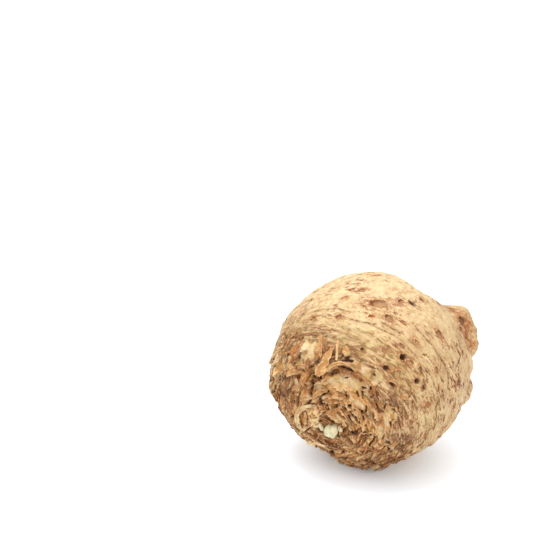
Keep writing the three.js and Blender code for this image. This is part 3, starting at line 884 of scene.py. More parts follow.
# Root scars
def make_scars():
    """Places, sizes and tones of all root scars: those of the picture, then seeded ones out of sight."""
    scars = []
    for x, y, radius, narrow, lean, depth, tone in SEEN_SCARS:
        toward = seen_on(x, y)
        run = VIEW_RIGHT * math.cos(lean * DEG) - VIEW_UP * math.sin(lean * DEG)
        scars.append((toward, radius, narrow, run, depth, tone))
    draw = draws_from(HIDDEN_SCARS["seed"])
    while len(scars) < len(SEEN_SCARS) + HIDDEN_SCARS["count"]:
        from_crown = between(HIDDEN_SCARS["nearest"], HIDDEN_SCARS["furthest"], draw() ** 0.6)
        toward = direction(from_crown, 2 * math.pi * draw())
        radius = between(HIDDEN_SCARS["small"], HIDDEN_SCARS["large"], draw() ** 2.2)
        narrow = between(0.45, 0.95, draw())
        around = np.cross(CROWN, toward) + (draw() - 0.5) * CROWN
        tone = draw() ** 1.5
        seen = toward @ VIEW_NEAR > HIDDEN_SCARS["most_seen"]
        crowded = any(toward @ scar[0] > math.cos(HIDDEN_SCARS["apart"]) for scar in scars)
        if not seen and not crowded:
            scars.append((toward, radius, narrow, around, 0.35 * radius + 0.3, tone))
    return scars


def scar_fields(toward):
    """Height that the scars add, nearest scar as a share of its size, that scar's tone, and how far a place
    lies towards that scar's upper left side, where the material paints its rim darker as shade.
    """
    height = np.zeros(len(toward))
    nearest = np.full(len(toward), 9.0)
    tone = np.zeros(len(toward))
    high = np.zeros(len(toward))
    # The upper left side of each scar, where the material paints the rim darker as shade
    shaded = unit(0.8 * VIEW_UP - 0.6 * VIEW_RIGHT)
    rough = noise(toward * BODY_RADIUS, 1.6, 11) * 0.20 + noise(toward * BODY_RADIUS, 0.8, 12) * 0.10
    for place, radius, narrow, run, depth, scar_tone in make_scars():
        near = np.nonzero(toward @ place > math.cos(5 * radius / BODY_RADIUS))[0]
        along = unit(run - place * (run @ place))
        beside = np.cross(place, along)
        gap = toward[near] * BODY_RADIUS
        share = np.hypot(gap @ along / radius, gap @ beside / (radius * narrow))
        share = np.maximum(share + rough[near] * np.minimum(1, 2.5 / radius), 0)
        bowl = -1.2 * depth * (1 - smooth_step(0.45, 1.0, share))
        rim = 0.32 * depth * np.exp(-(((share - 1.22) / 0.28) ** 2))
        height[near] += bowl + rim
        closer = share < nearest[near]
        nearest[near] = np.where(closer, share, nearest[near])
        tone[near] = np.where(closer, scar_tone, tone[near])
        own_shade_side = gap @ shaded / radius - place @ shaded * BODY_RADIUS / radius
        high[near] = np.where(closer, own_shade_side, high[near])
    return height, nearest, tone, high


# The skin
PLACED_RINGS = [np.array([seen_on(x, y) * BODY_RADIUS for x, y in pixels]) for pixels in SEEN_RINGS]


def seen_ring_fields(places):
    """Height of the old leaf edges that the picture shows, and the distance to the nearest one."""
    height = np.zeros(len(places))
    nearest = np.full(len(places), 9.0)
    wander = noise(places, 4, 21) * 0.6 + noise(places, 1.5, 22) * 0.25
    for line in PLACED_RINGS:
        distance, side = line_distance(places, line)
        signed = distance * side + wander
        lip = np.exp(-np.abs(signed) / RING_STEP["reach"]) * np.exp(-np.maximum(distance - 4, 0))
        height += RING_STEP["height"] * lip * np.tanh(signed / RING_STEP["soft"])
        nearest = np.minimum(nearest, np.abs(signed) + np.maximum(distance - np.abs(signed) - 1, 0))
    return height, nearest


def build_skin(material):
    toward, faces = ball_directions(SKIN_SQUARES)
    from_crown, _ = crown_angles(toward)
    places = toward * BODY_RADIUS
    ring_places = np.stack([places @ CROWN_SIDE, places @ CROWN_OVER, from_crown * BODY_RADIUS], axis=-1)
    rings, ring_gap = ring_relief(toward, RIDGE_SOFT)
    steps, seen_gap = seen_ring_fields(places)
    scars, scar_share, scar_tone, scar_shade_side = scar_fields(toward)
    crown = crown_share(toward)
    stretched = ring_places / np.array([6.0, 6.0, 1.0])
    wrinkles = layered_noise(stretched, 1.3, 31) * 0.25 + layered_noise(stretched, 4.0, 35) * 0.45
    lumps = layered_noise(places, 11, 41) * 0.7 + layered_noise(places, 3.2, 45) * 0.32
    knob = knob_share(toward)
    furrows = np.exp(-((noise(places, 3.6, 48) / 0.14) ** 2))
    rough = layered_noise(places, 4.5, 46) * 2.0 + layered_noise(places, 1.9, 47)
    lumps += knob * (rough - 0.9 * furrows)
    notch = angle_between(toward, seen_at(NOTCH_FILL["x"], NOTCH_FILL["y"]))
    lumps += rounded(NOTCH_FILL["height"], NOTCH_FILL["spread"], notch)
    relief = rings * 0.8 + steps + scars + lumps + wrinkles - 1.8 * smooth_step(0.2, 0.9, crown)
    vertices = BODY_CENTRE + toward * (form_radius(toward) + relief)[:, None]
    vertices[:, 2] = np.maximum(vertices[:, 2], SKIN_FLOOR)
    fields = {
        "ring_place": ring_places,
        # Distance to each ring's line, along which the material paints a thin shadow
        "ring_gap": ring_gap,
        # Distance to the seen ring edges, along which the material paints a thin shadow
        "seen_gap": seen_gap,
        "scar_share": scar_share,
        "scar_tone": scar_tone,
        # How far a place lies towards its scar's upper left side, for the painted shade on the rim
        "scar_shade_side": scar_shade_side,
        "crown": crown,
        "near_crown": near_crown_share(toward) + wear(toward),
        "green": green_share(toward),
        # Painted light: how much paler the skin is made towards the top
        "top": 0.75 * smooth_step(0.45, 0.95, toward[:, 2]),
        "knob": stain_share(toward),
    }
    skin = add_piece("root_skin", vertices, faces, material, fields)
    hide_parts("corm")
    return skin


def root_end_share(toward):
    """How far a place is in the rough brown end between the cut roots."""
    return 0.8 * (1 - smooth_step(16, 46, angle_between(toward, ROOT_END) / DEG))


def knob_share(toward):
    """How far a place is on one of the rough knobs at the right or in the root end."""
    share = root_end_share(toward)
    for place, lump in PLACED_LUMPS[:2]:
        share = np.maximum(share, rounded(1, lump["spread"] * 1.05, angle_between(toward, place), 3))
    return share * (0.7 + 0.5 * noise(toward * BODY_RADIUS, 4, 77))


def stain_share(toward):
    """How brown a place is: the strip down the middle of the knob and the root end."""
    places = toward * BODY_RADIUS
    line = np.array([seen_on(x, y) * BODY_RADIUS for x, y in KNOB_STAIN["line"]])
    distance, _ = line_distance(places, line)
    strip = np.exp(-((distance / KNOB_STAIN["width"]) ** 2))
    share = np.maximum(root_end_share(toward), strip)
    return share * (0.72 + 0.6 * noise(places, 4, 77))


def crown_border(turn):
    """Angle in degrees at which the torn crown ends: further out on its lower left."""
    return CROWN_BORDER["mean"] + CROWN_BORDER["reach"] * np.cos(turn - CROWN_BORDER["side"] * DEG)


def near_crown_share(toward):
    """1 at the ragged border of the crown, fading out over the shoulder."""
    from_crown, turn = crown_angles(toward)
    border = crown_border(turn)
    return 1 - smooth_step(border - 4, border + 32, from_crown / DEG)


def wear(toward):
    """Above 0 on the marked skin at the lower right, below 0 on the clean skin at the upper right."""
    worn = angle_between(toward, seen_on(WORN_SKIN["x"], WORN_SKIN["y"])) / DEG
    clean = angle_between(toward, seen_on(CLEAN_SKIN["x"], CLEAN_SKIN["y"])) / DEG
    more = WORN_SKIN["share"] * np.exp(-((worn / WORN_SKIN["reach"]) ** 2))
    fewer = CLEAN_SKIN["share"] * np.exp(-((clean / CLEAN_SKIN["reach"]) ** 2))
    return more - fewer


def crown_share(toward):
    """1 in the torn crown, 0 on the pale skin, with a ragged border that reaches further down and left."""
    from_crown, turn = crown_angles(toward)
    places = toward * BODY_RADIUS
    border = crown_border(turn) + 7 * noise(places, 9, 61) + 5 * noise(places, 3.5, 62)
    return 1 - smooth_step(border - 7, border + 5, from_crown / DEG)


def pale_share(toward):
    """1 on the smooth pale skin that shows between the torn leaf bases, more of it on the upper right."""
    from_crown, turn = crown_angles(toward)
    places = toward * BODY_RADIUS
    islands = noise(places, 5.0, 63) + 0.6 * noise(places, 2.0, 64)
    outer = smooth_step(26, 50, from_crown / DEG) * (0.70 + 0.30 * np.cos(turn - PALE_SIDE * DEG))
    patch = 1 - smooth_step(0.5, 1.35, patch_share(toward) + islands * 0.35)
    return np.maximum(patch, smooth_step(0.05, 0.6, islands) * outer)


def green_share(toward):
    """The yellow-green band on the upper shoulder, above the crown."""
    from_crown, turn = crown_angles(toward)
    band = np.exp(-(((from_crown / DEG - GREEN_BAND["mean"]) / GREEN_BAND["spread"]) ** 2))
    places = toward * BODY_RADIUS
    leaning = 0.60 + 0.40 * np.cos(turn - GREEN_BAND["side"] * DEG)
    return band * leaning * (0.75 + 0.5 * noise(places, 9, 71))


def outer_tone(from_crown, turn):
    """How much paler the torn skin gets towards the shoulder, most of all at the left."""
    return (0.50 + 0.42 * np.cos(turn - OUTER_PALE_SIDE * DEG)) * smooth_step(34, 56, from_crown / DEG)


# The ground of the crown
def make_plates():
    """Worn leaf bases in a spiral, each with its place, arc, height, tail and tone."""
    rng = np.random.default_rng(PLATES["seed"])
    plates = []
    near, far = math.cos(PLATES["nearest"] * DEG), math.cos(PLATES["furthest"] * DEG)
    for i in range(PLATES["count"]):
        from_crown = math.acos(between(far, near, (i + 0.5) / PLATES["count"])) + rng.normal(0, 1.5) * DEG
        plates.append({
            "from_crown": from_crown,
            "turn": i * GOLDEN_ANGLE + rng.normal(0, 0.15),
            "half": between(PLATES["short"], PLATES["long"], rng.random()),
            "bow": rng.uniform(-1, 4),
            "tilt": rng.normal(0, 0.22),
            "height": between(PLATES["low"], PLATES["high"], rng.random() ** 1.3),
            "tail": rng.uniform(2.2, 6.0),
            "tone": rng.random(),
        })
    return plates


def plate_fields(toward, from_crown, turn):
    """Height of the topmost plate, its tone, how near its torn edge is, where the material paints a highlight,
    and how deep the dip before it is, which the material paints as shade.
    """
    places = toward * BODY_RADIUS
    ragged = noise(places, 2.4, 81) * 0.8 + noise(places, 1.1, 82) * 0.55
    height = np.zeros(toward.shape[:-1])
    tone = np.full(toward.shape[:-1], 0.4)
    edge = np.zeros(toward.shape[:-1])
    gap = np.zeros(toward.shape[:-1])
    for plate in make_plates():
        middle = direction(plate["from_crown"], plate["turn"])
        near = np.nonzero(toward @ middle > math.cos((plate["half"] + 9) / BODY_RADIUS))
        apart = turn[near] - plate["turn"]
        around = np.arctan2(np.sin(apart), np.cos(apart)) * np.sin(from_crown[near])
        across = around * BODY_RADIUS / plate["half"]
        window = np.sqrt(np.clip(1 - across * across, 0, 1))
        offset = (from_crown[near] - plate["from_crown"]) * BODY_RADIUS
        offset = offset - plate["bow"] * across * across - plate["tilt"] * plate["half"] * across
        offset = offset + ragged[near]
        behind = np.exp(-np.maximum(offset, 0) / plate["tail"])
        front = np.exp(np.minimum(offset, 0) / 0.22)
        lip = np.exp(-((offset / 0.55) ** 2)) * window
        mine = plate["height"] * window * behind * front * (1 + 0.25 * lip)
        wins = mine > height[near]
        height[near] = np.where(wins, mine, height[near])
        tone[near] = np.where(wins, plate["tone"], tone[near])
        edge[near] = np.where(wins, lip, edge[near] * 0.999)
        # The dip before the plate's edge, which the material paints as shade
        hollow_shade = window * np.exp(np.minimum(offset, 0) / 1.1) * (offset < 0)
        gap[near] = np.maximum(gap[near], hollow_shade)
    return height, tone, edge, gap * np.exp(-height / 1.2)


def build_crown_ground(material):
    """A fine sheet over the crown whose worn plates lean over each other towards the heart."""
    round_by = np.linspace(0, 2 * math.pi, CROWN_GRID["round"], endpoint=False)
    outward = np.linspace(1.2, CROWN_GRID["furthest"], CROWN_GRID["along"]) * DEG
    from_crown, turn = np.meshgrid(outward, round_by, indexing="ij")
    toward = direction(from_crown, turn)
    height, tone, edge, gap = plate_fields(toward, from_crown, turn)
    depth, lip, gap_share = gap_fields(toward)
    crown = crown_share(toward)
    pale = np.maximum(pale_share(toward), 1 - smooth_step(0.35, 0.95, crown))
    places = toward * BODY_RADIUS
    ring_places = np.stack([places @ CROWN_SIDE, places @ CROWN_OVER, from_crown * BODY_RADIUS], axis=-1)
    threads = 1 - np.abs(layered_noise(ring_places / np.array([4.0, 4.0, 1.0]), 1.6, 91))
    lumps = layered_noise(places, 6, 95) * 1.1
    height = height * (1 - 0.75 * pale)
    torn = (threads - 0.6) * 1.1 * (1 - 0.7 * pale) + lumps
    leaning = 0.35 * height * (0.4 + edge) / BODY_RADIUS
    rise = height * 1.1 + torn + lip - depth - 0.6 - 3.0 * (1 - smooth_step(0.1, 0.75, crown))
    radius = form_radius(toward) + ring_relief(toward, 1.0)[0] * 0.6 + rise
    vertices = BODY_CENTRE + direction(from_crown - leaning, turn) * radius[..., None]
    vertices[..., 2] = np.maximum(vertices[..., 2], SHEET_FLOOR)
    _, faces = tube(*from_crown.shape)
    fields = {
        "ring_place": ring_places.reshape(-1, 3),
        "tone": (tone + outer_tone(from_crown, turn)).ravel(),
        # Nearness of the torn edges, where the material paints a highlight
        "edge": edge.ravel(),
        # The dip before each plate's edge, which the material paints as shade
        "gap": gap.ravel(),
        # Distance to the gaps, for the shade that the material paints in and round them
        "gap_share": gap_share.ravel(),
        # Relief, which the material darkens where it is low as painted shade
        "relief": (height + torn).ravel(),
        "pale": pale.ravel(),
        "near_crown": (near_crown_share(toward) * 0.35).ravel(),
    }
    return add_piece("crown_ground", vertices.reshape(-1, 3), faces, material, fields)


# Torn sheets
def strip_faces(sections, corners):
    """Faces of one closed strip whose sections each have the same number of corners, with its two ends."""
    faces = []
    for s in range(sections - 1):
        for c in range(corners):
            d = (c + 1) % corners
            faces.append([s * corners + c, s * corners + d, (s + 1) * corners + d, (s + 1) * corners + c])
    last = (sections - 1) * corners
    for c in range(corners // 2 - 1):
        low, high = c, corners - 1 - c
        faces.append([low, high, high - 1, low + 1])
        faces.append([last + low, last + low + 1, last + high - 1, last + high])
    return faces


def resampled(values, count):
    """Values along a line, as 'count' values at equal steps."""
    values = np.asarray(values, float)
    steps = np.linspace(0, len(values) - 1, count)
    low = np.minimum(steps.astype(int), len(values) - 2)
    share = steps - low
    share = share.reshape(-1, *[1] * (values.ndim - 1))
    return values[low] * (1 - share) + values[low + 1] * share


def seen_sheets(sheets):
    """The sheets that the picture shows, as rows of the tables that build_sheets takes."""
    rows = []
    sections = SEEN_FINE["along"]
    for tone, lift, tilt, curl, rim, amber, pixels in sheets:
        line = np.array([seen_on(x, y) for x, y, _ in pixels])
        share = np.linspace(0, 1, sections)
        rows.append({
            "line": unit(resampled(line, sections)),
            "half": resampled([half for _, _, half in pixels], sections) * VIEW_PIXEL["size"],
            "lift": between(*lift, share**0.8),
            "tilt": between(*tilt, share) * DEG,
            "curl": curl,
            "tone": tone,
            "rim": rim,
            "amber": amber,
        })
    return rows


def drawn_sheets(spec):
    """Seeded sheets that run round the crown, denser where it is torn."""
    rng = np.random.default_rng(spec["seed"])
    count, sections = spec["count"], spec["sections"]
    rows = []
    share = np.linspace(0, 1, sections)
    near, far = math.cos(spec["zone"][0] * DEG), math.cos(spec["zone"][1] * DEG)
    places = [(math.acos(rng.uniform(far, near)), rng.random() * 2 * math.pi) for _ in range(4 * count)]
    toward = direction(*np.array(places).T)
    torn = crown_share(toward) * (1 - 0.8 * pale_share(toward))
    clear = gap_fields(toward)[2] > spec["clear"]
    wanted = (torn > spec["torn"] * rng.random(len(places)) + 0.25) & clear
    for from_crown, turn in np.array(places)[wanted]:
        length = rng.uniform(*spec["length"]) / BODY_RADIUS
        disorder = spec["disorder"] * (1.6 - from_crown / (60 * DEG))
        course = rng.normal(0, disorder) * DEG + rng.choice([0, 180]) * DEG
        bend = rng.normal(0, spec["bend"])
        heading_by = course + bend * (share - 0.5)
        step = length / (sections - 1)
        outward = from_crown + np.cumsum(np.sin(heading_by)) * step
        around = turn + np.cumsum(np.cos(heading_by)) * step / math.sin(max(from_crown, 9 * DEG))
        width = rng.uniform(*spec["width"]) / 2
        taper = np.sin(math.pi * (0.10 + 0.86 * share)) ** 0.7 * rng.uniform(0.75, 1.1, sections)
        rows.append({
            "line": direction(np.abs(outward), around),
            "half": width * taper,
            "lift": rng.uniform(*spec["lift"]) + rng.uniform(*spec["raise"]) * share**1.5,
            "tilt": (rng.uniform(*spec["tilt"]) + rng.normal(0, 15) * share) * DEG * rng.choice([-1, 1]),
            "curl": rng.uniform(0, 0.25) * width * 2,
            "tone": rng.random() + 0.45 * outer_tone(from_crown, turn),
            "rim": rng.random(),
            "amber": 0.55 * float(rng.random() < 0.06),
        })
    clear = patch_share(np.stack([row["line"] for row in rows])).min(axis=1) > 1.1
    return [row for row, kept in zip(rows, clear) if kept][:count]


def build_sheets(name, material, rows, across, thickness):
    """Closed thin sheets, all with the same number of sections, from rows of lines and measures."""
    line = np.stack([row["line"] for row in rows])
    half = np.stack([row["half"] for row in rows])[..., None, None]
    lift = np.stack([np.broadcast_to(row["lift"], half.shape[1]) for row in rows])
    tilt = np.stack([np.broadcast_to(row["tilt"], half.shape[1]) for row in rows])[..., None]
    curl = np.array([row["curl"] for row in rows])[:, None, None, None]
    uneven = np.random.default_rng(55).uniform(0.75, 1.25, half.shape[:2])
    half = half * ((uneven + np.roll(uneven, 1, axis=1)) / 2)[..., None, None]
    middle = skin_point(line, lift)
    along = unit(np.gradient(middle, axis=1))
    side = unit(np.cross(along, line))
    over = np.cross(side, along)
    lay = side * np.cos(tilt) + over * np.sin(tilt)
    face = over * np.cos(tilt) - side * np.sin(tilt)
    u = np.linspace(-1, 1, across)
    count, sections = half.shape[:2]
    number = np.arange(count)[:, None, None] * 3.7
    far = np.linspace(0, 1, sections)[None, :, None] * 2.5
    creases = noise(np.stack(np.broadcast_arrays(far, u[None, None] * 1.8, number), axis=-1), 1.0, 13)
    bumps = noise(np.stack(np.broadcast_arrays(far * 4, u[None, None] * 2.5, number), axis=-1), 1.0, 14)
    swell = (creases[..., None] * 0.45 + bumps[..., None] * 0.2) * np.minimum(half, 1.6)
    sheet = middle[:, :, None] + lay[:, :, None] * half * u[:, None]
    sheet = sheet + face[:, :, None] * (curl * u[:, None] ** 2 + swell)
    thick = (thickness / 2 * (1 - 0.65 * u**4))[:, None]
    upper = sheet + face[:, :, None] * thick
    lower = (sheet - face[:, :, None] * thick)[:, :, ::-1]
    rings = np.concatenate([upper, lower], axis=2)
    rings[..., 2] = np.maximum(rings[..., 2], SHEET_FLOOR)
    corners = 2 * across
    one = np.array(strip_faces(sections, corners))
    shift = (np.arange(count) * sections * corners)[:, None, None]
    both = np.concatenate([u, u[::-1]])
    rims = np.array([row["rim"] for row in rows])[:, None, None]
    fields = {
        "tone": np.repeat([row["tone"] for row in rows], sections * corners),
        # Painted highlight along one or both long edges of each sheet
        "rim": np.broadcast_to(
            rims * np.where(rims < 1, np.maximum(both, 0), np.abs(both)) ** 4, (count, sections, corners),
        ).ravel(),
        "amber": np.repeat([row["amber"] for row in rows], sections * corners),
        # Lift of each sheet, which the material darkens where it is low as painted shade
        "rise": np.broadcast_to(lift[..., None], (count, sections, corners)).ravel(),
        "grain": np.stack(np.broadcast_arrays(
            both * half[..., 0], far * 6, number,
        ), axis=-1).reshape(-1, 3),
    }
    faces = (one[None] + shift).reshape(-1, 4)
    return add_piece(name, rings.reshape(-1, 3), faces, material, fields)


# The young shoots in the heart
def lobe_mesh(x, y, sizes, lift, lean, tone, seed, sides=40, rings=26):
    """A closed bud lobe that lies on the skin at a pixel, folded and furrowed along its length."""
    toward = seen_on(x, y)
    along = unit(VIEW_UP * math.cos(lean * DEG) + VIEW_RIGHT * math.sin(lean * DEG))
    along = unit(along - 0.35 * toward * (along @ toward))
    beside = unit(np.cross(toward, along))
    outward = np.cross(along, beside)
    down = np.linspace(0.02, 0.98, rings) * math.pi
    around = np.linspace(0, 2 * math.pi, sides, endpoint=False)
    ball = np.stack([
        np.sin(down)[:, None] * np.cos(around),
        np.cos(down)[:, None] + 0 * around,
        np.sin(down)[:, None] * np.sin(around),
    ], axis=-1)
    taper = 1 - 0.34 * ball[..., 1:2] ** 2 + 0.34 * ball[..., 1:2]
    fold = 1 - 0.05 * np.exp(-(((np.sin(around * 1.5 + seed) - 0.1) / 0.16) ** 2))
    furrows = 1 + 0.09 * noise(ball * np.array([3.6, 0.6, 3.6]), 1.0, seed)
    furrows = furrows + 0.08 * noise(ball, 0.9, seed + 1)
    shape = ball * taper * fold[None, :, None] * furrows[..., None] * np.array(sizes)
    middle = skin_point(toward[None], np.array([lift]))[0]
    places = middle + shape[..., 0:1] * beside + shape[..., 1:2] * along + shape[..., 2:3] * outward
    corner, squares = tube(rings, sides)
    faces = squares.tolist()
    faces.append(corner[0].tolist())
    faces.append(corner[-1].tolist()[::-1])
    tip = np.repeat(0.5 + 0.5 * np.cos(down), sides)
    grain = (ball * np.array([1.0, 0.3, 1.0])).reshape(-1, 3) * np.max(sizes) + seed * 5
    # Painted shade on each lobe's underside, where it faces the skin
    low = np.clip(0.5 - 0.6 * ball[..., 2], 0, 1).ravel()
    fields = {"tip": tip, "grain": grain, "tone": np.full(len(tip), tone), "low": low}
    return places.reshape(-1, 3), faces, fields


def build_shoots(material):
    """The pale bud of young leaves in the heart."""
    vertices, faces, parts = [], [], []
    count = 0
    for number, lobe in enumerate(BUD_LOBES):
        places, own_faces, own_fields = lobe_mesh(**lobe, seed=number + 3)
        vertices.append(places)
        faces += [[corner + count for corner in face] for face in own_faces]
        parts.append(own_fields)
        count += len(places)
    fields = {key: np.concatenate([part[key] for part in parts]) for key in parts[0]}
    shoots = add_piece("young_shoots", np.concatenate(vertices), faces, material, fields)
    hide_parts("heart_shoots")
    return shoots


# The root end
def build_roots(name, material, spec):
    """Cut roots: each flares into the skin, is a little oval and furrowed, and ends in a slanting cut."""
    over = unit(np.cross(ROOT_END, UP))
    beside = np.cross(ROOT_END, over)
    vertices, faces, fields = [], [], {"cut": [], "share": [], "grain": [], "tone": []}
    draw = draws_from(spec["seed"])
    sides, levels = spec["sides"], spec["levels"]
    for i in range(spec["count"]):
        from_end = between(spec["first"], spec["last"], math.sqrt((i + 0.5) / spec["count"])) * DEG
        turn = i * GOLDEN_ANGLE + draw() * 0.7
        aside = over * math.cos(turn) + beside * math.sin(turn)
        toward = ROOT_END * math.cos(from_end) + aside * math.sin(from_end)
        share = draw()
        radius = between(spec["thin"], spec["thick"], share**1.5)
        proud = between(spec["high"], spec["low"], share) * between(0.7, 1, draw())
        oval = between(0.75, 1, draw())
        slant = between(-0.35, 0.35, draw())
        lean = np.array([draw() - 0.5, draw() - 0.5, draw() - 0.5]) * 0.5
        turned = Vector((0, 1, 0)).rotation_difference(Vector(unit(toward + lean)))
        axes = np.array(turned.to_matrix())
        sunk = 1.5 * radius + 1.5
        along = np.linspace(0, 1, levels)
        flare = np.interp(along, np.linspace(0, 1, len(ROOT_FLARE)), ROOT_FLARE)
        inner = np.array([0.93, 0.72, 0.42, 0.12])
        reach = np.concatenate([flare, flare[-1] * inner])
        height = np.concatenate([along, np.ones(len(inner))]) * (proud + sunk) - sunk
        dish = np.concatenate([np.zeros(levels), np.array([0.12, -0.05, -0.12, -0.02]) * radius * 0.6])
        around = np.linspace(0, 2 * math.pi, sides, endpoint=False)
        far = height[:, None] * 0.12 + i * 5
        phase = np.stack(np.broadcast_arrays(np.cos(around) * 1.6, np.sin(around) * 1.6, far), axis=-1)
        furrow = 1 + 0.13 * noise(phase, 1.0, 14) + 0.06 * noise(phase * 2.7, 1.0, 15)
        cut = np.concatenate([np.zeros(levels - 1), np.ones(len(inner) + 1)])
        x = radius * reach[:, None] * np.cos(around) * furrow
        z = radius * reach[:, None] * np.sin(around) * furrow * oval
        y = height[:, None] + dish[:, None] + slant * x * cut[:, None]
        local = np.stack([x, y, z], axis=-1).reshape(-1, 3)
        base = sum(len(v) for v in vertices)
        vertices.append(local @ axes.T + skin_point(toward[None])[0])
        corner, squares = tube(len(reach), sides)
        faces += (squares + base).tolist()
        faces.append((corner[-1] + base).tolist()[::-1])
        faces.append((corner[0] + base).tolist())
        fields["cut"].append((cut[:, None] * np.ones(sides)).ravel())
        fields["share"].append((reach[:, None] / flare[-1] * np.ones(sides)).ravel())
        fields["tone"].append(np.full(corner.size, draws_from(i + 3)()))
        grain = np.stack(np.broadcast_arrays(x, height[:, None], z), axis=-1)
        fields["grain"].append(grain.reshape(-1, 3))
    fields = {key: np.concatenate(value) for key, value in fields.items()}
    return add_piece(name, np.concatenate(vertices), faces, material, fields)


# Node graphs
def linear(red, green, blue):
    """A colour of the picture, 0 to 255, as the renderer wants it."""
    def one(value):
        value = value / 255
        return value / 12.92 if value <= 0.04045 else ((value + 0.055) / 1.055) ** 2.4

    return (one(red), one(green), one(blue), 1.0)


class Graph:
    """A material's nodes, joined by short calls."""

    def __init__(self, name):
        self.material = bpy.data.materials.new(name)
        self.material.use_nodes = True
        self.nodes = self.material.node_tree.nodes
        self.links = self.material.node_tree.links
        self.nodes.clear()
        self.output = self.nodes.new("ShaderNodeOutputMaterial")
        self.shader = self.nodes.new("ShaderNodeBsdfPrincipled")
        self.links.new(self.shader.outputs["BSDF"], self.output.inputs["Surface"])

    def feed(self, socket, value):
        if isinstance(value, bpy.types.NodeSocket):
            self.links.new(value, socket)
        elif value is not None:
            socket.default_value = value

    def field(self, name, vector=False):
        node = self.nodes.new("ShaderNodeAttribute")
        node.attribute_name = name
        return node.outputs["Vector" if vector else "Fac"]

    def place(self):
        """The place on the object, in millimetres."""
        return self.scaled(self.nodes.new("ShaderNodeTexCoord").outputs["Object"], (1000, 1000, 1000))

    def scaled(self, vector, factors):
        node = self.nodes.new("ShaderNodeVectorMath")
        node.operation = "MULTIPLY"
        self.feed(node.inputs[0], vector)
        node.inputs[1].default_value = factors
        return node.outputs["Vector"]

    def noise(self, vector, scale, detail=4.0, roughness=0.55, distortion=0.0):
        node = self.nodes.new("ShaderNodeTexNoise")
        self.feed(node.inputs["Vector"], vector)
        node.inputs["Scale"].default_value = scale
        node.inputs["Detail"].default_value = detail
        node.inputs["Roughness"].default_value = roughness
        node.inputs["Distortion"].default_value = distortion
        return node.outputs["Fac"]

    def stretched(self, vector, factors, **look):
        """Noise that is drawn out along one axis or more."""
        return self.noise(self.scaled(vector, factors), 1.0, **look)

    def cell_gap(self, vector, scale):
        node = self.nodes.new("ShaderNodeTexVoronoi")
        self.feed(node.inputs["Vector"], vector)
        node.inputs["Scale"].default_value = scale
        return node.outputs["Distance"]

    def math(self, operation, a, b=None, clamp=False):
        node = self.nodes.new("ShaderNodeMath")
        node.operation = operation
        node.use_clamp = clamp
        self.feed(node.inputs[0], a)
        self.feed(node.inputs[1], b)
        return node.outputs["Value"]

    def times(self, a, b, clamp=False):
        return self.math("MULTIPLY", a, b, clamp)

    def plus(self, a, b):
        return self.math("ADD", a, b)

    def minus(self, a, b):
        return self.math("SUBTRACT", a, b)

    def shaken(self, value, noise, by):
        """Value moved up and down by a noise that lies round one half."""
        return self.plus(value, self.times(self.minus(noise, 0.5), by))

    def span(self, value, low, high, to_low=0.0, to_high=1.0):
        """Value eased from one span to another, and held at its ends."""
        node = self.nodes.new("ShaderNodeMapRange")
        node.interpolation_type = "SMOOTHSTEP"
        self.feed(node.inputs["Value"], value)
        node.inputs["From Min"].default_value = low
        node.inputs["From Max"].default_value = high
        node.inputs["To Min"].default_value = to_low
        node.inputs["To Max"].default_value = to_high
        return node.outputs["Result"]

    def mix(self, share, under, over):
        node = self.nodes.new("ShaderNodeMix")
        node.data_type = "RGBA"
        self.feed(node.inputs["Factor"], share)
        self.feed(node.inputs["A"], under)
        self.feed(node.inputs["B"], over)
        return node.outputs["Result"]

    def coats(self, colour, layers):
        """Colours laid one over another, each where its value goes from low to high, up to its share."""
        for value, low, high, share, over in layers:
            colour = self.mix(self.span(value, low, high, 0, share), colour, over)
        return colour

    def ramp(self, value, stops):
        node = self.nodes.new("ShaderNodeValToRGB")
        self.feed(node.inputs["Fac"], value)
        elements = node.color_ramp.elements
        while len(elements) < len(stops):
            elements.new(0.5)
        for element, (at, colour) in zip(elements, stops):
            element.position = at
            element.color = colour
        return node.outputs["Color"]

    def finish(self, colour, roughness, height=None, strength=0.5, distance=0.0005, specular=0.3, glow=0.0):
        self.feed(self.shader.inputs["Base Color"], colour)
        self.feed(self.shader.inputs["Roughness"], roughness)
        self.shader.inputs["Specular IOR Level"].default_value = specular
        if glow > 0:
            self.shader.inputs["Emission Color"].default_value = (1, 1, 1, 1)
            self.shader.inputs["Emission Strength"].default_value = glow
        if height is not None:
            bump = self.nodes.new("ShaderNodeBump")
            bump.inputs["Strength"].default_value = strength
            bump.inputs["Distance"].default_value = distance
            self.feed(bump.inputs["Height"], height)
            self.links.new(bump.outputs["Normal"], self.shader.inputs["Normal"])
        return self.material


# Colours of the picture
LIT_CREAM = linear(226, 199, 156)
CREAM = linear(206, 177, 130)
TAN = linear(188, 153, 105)
PINK_BROWN = linear(158, 106, 66)
BROWN = linear(122, 75, 42)
DARK_BROWN = linear(80, 45, 22)
# Painted shade for the middle of the darkest scars and the gaps in the crown
HOLE_SHADE = linear(42, 22, 10)
ORANGE = linear(178, 98, 42)
RED_BROWN = linear(134, 70, 34)
RED_TAN = linear(166, 106, 62)
SCAR_TAN = linear(190, 145, 100)
YELLOW_GREEN = linear(192, 168, 106)
STRAW = linear(207, 160, 98)
TORN_TAN = linear(156, 98, 48)
TORN_LIGHT = linear(182, 126, 68)
EDGE_LIGHT = linear(232, 198, 150)
AMBER = linear(184, 108, 44)
MINT = linear(200, 200, 160)
MINT_CREAM = linear(214, 196, 160)
MINT_SHADE = linear(142, 128, 76)
CUP_GREEN = linear(158, 146, 78)


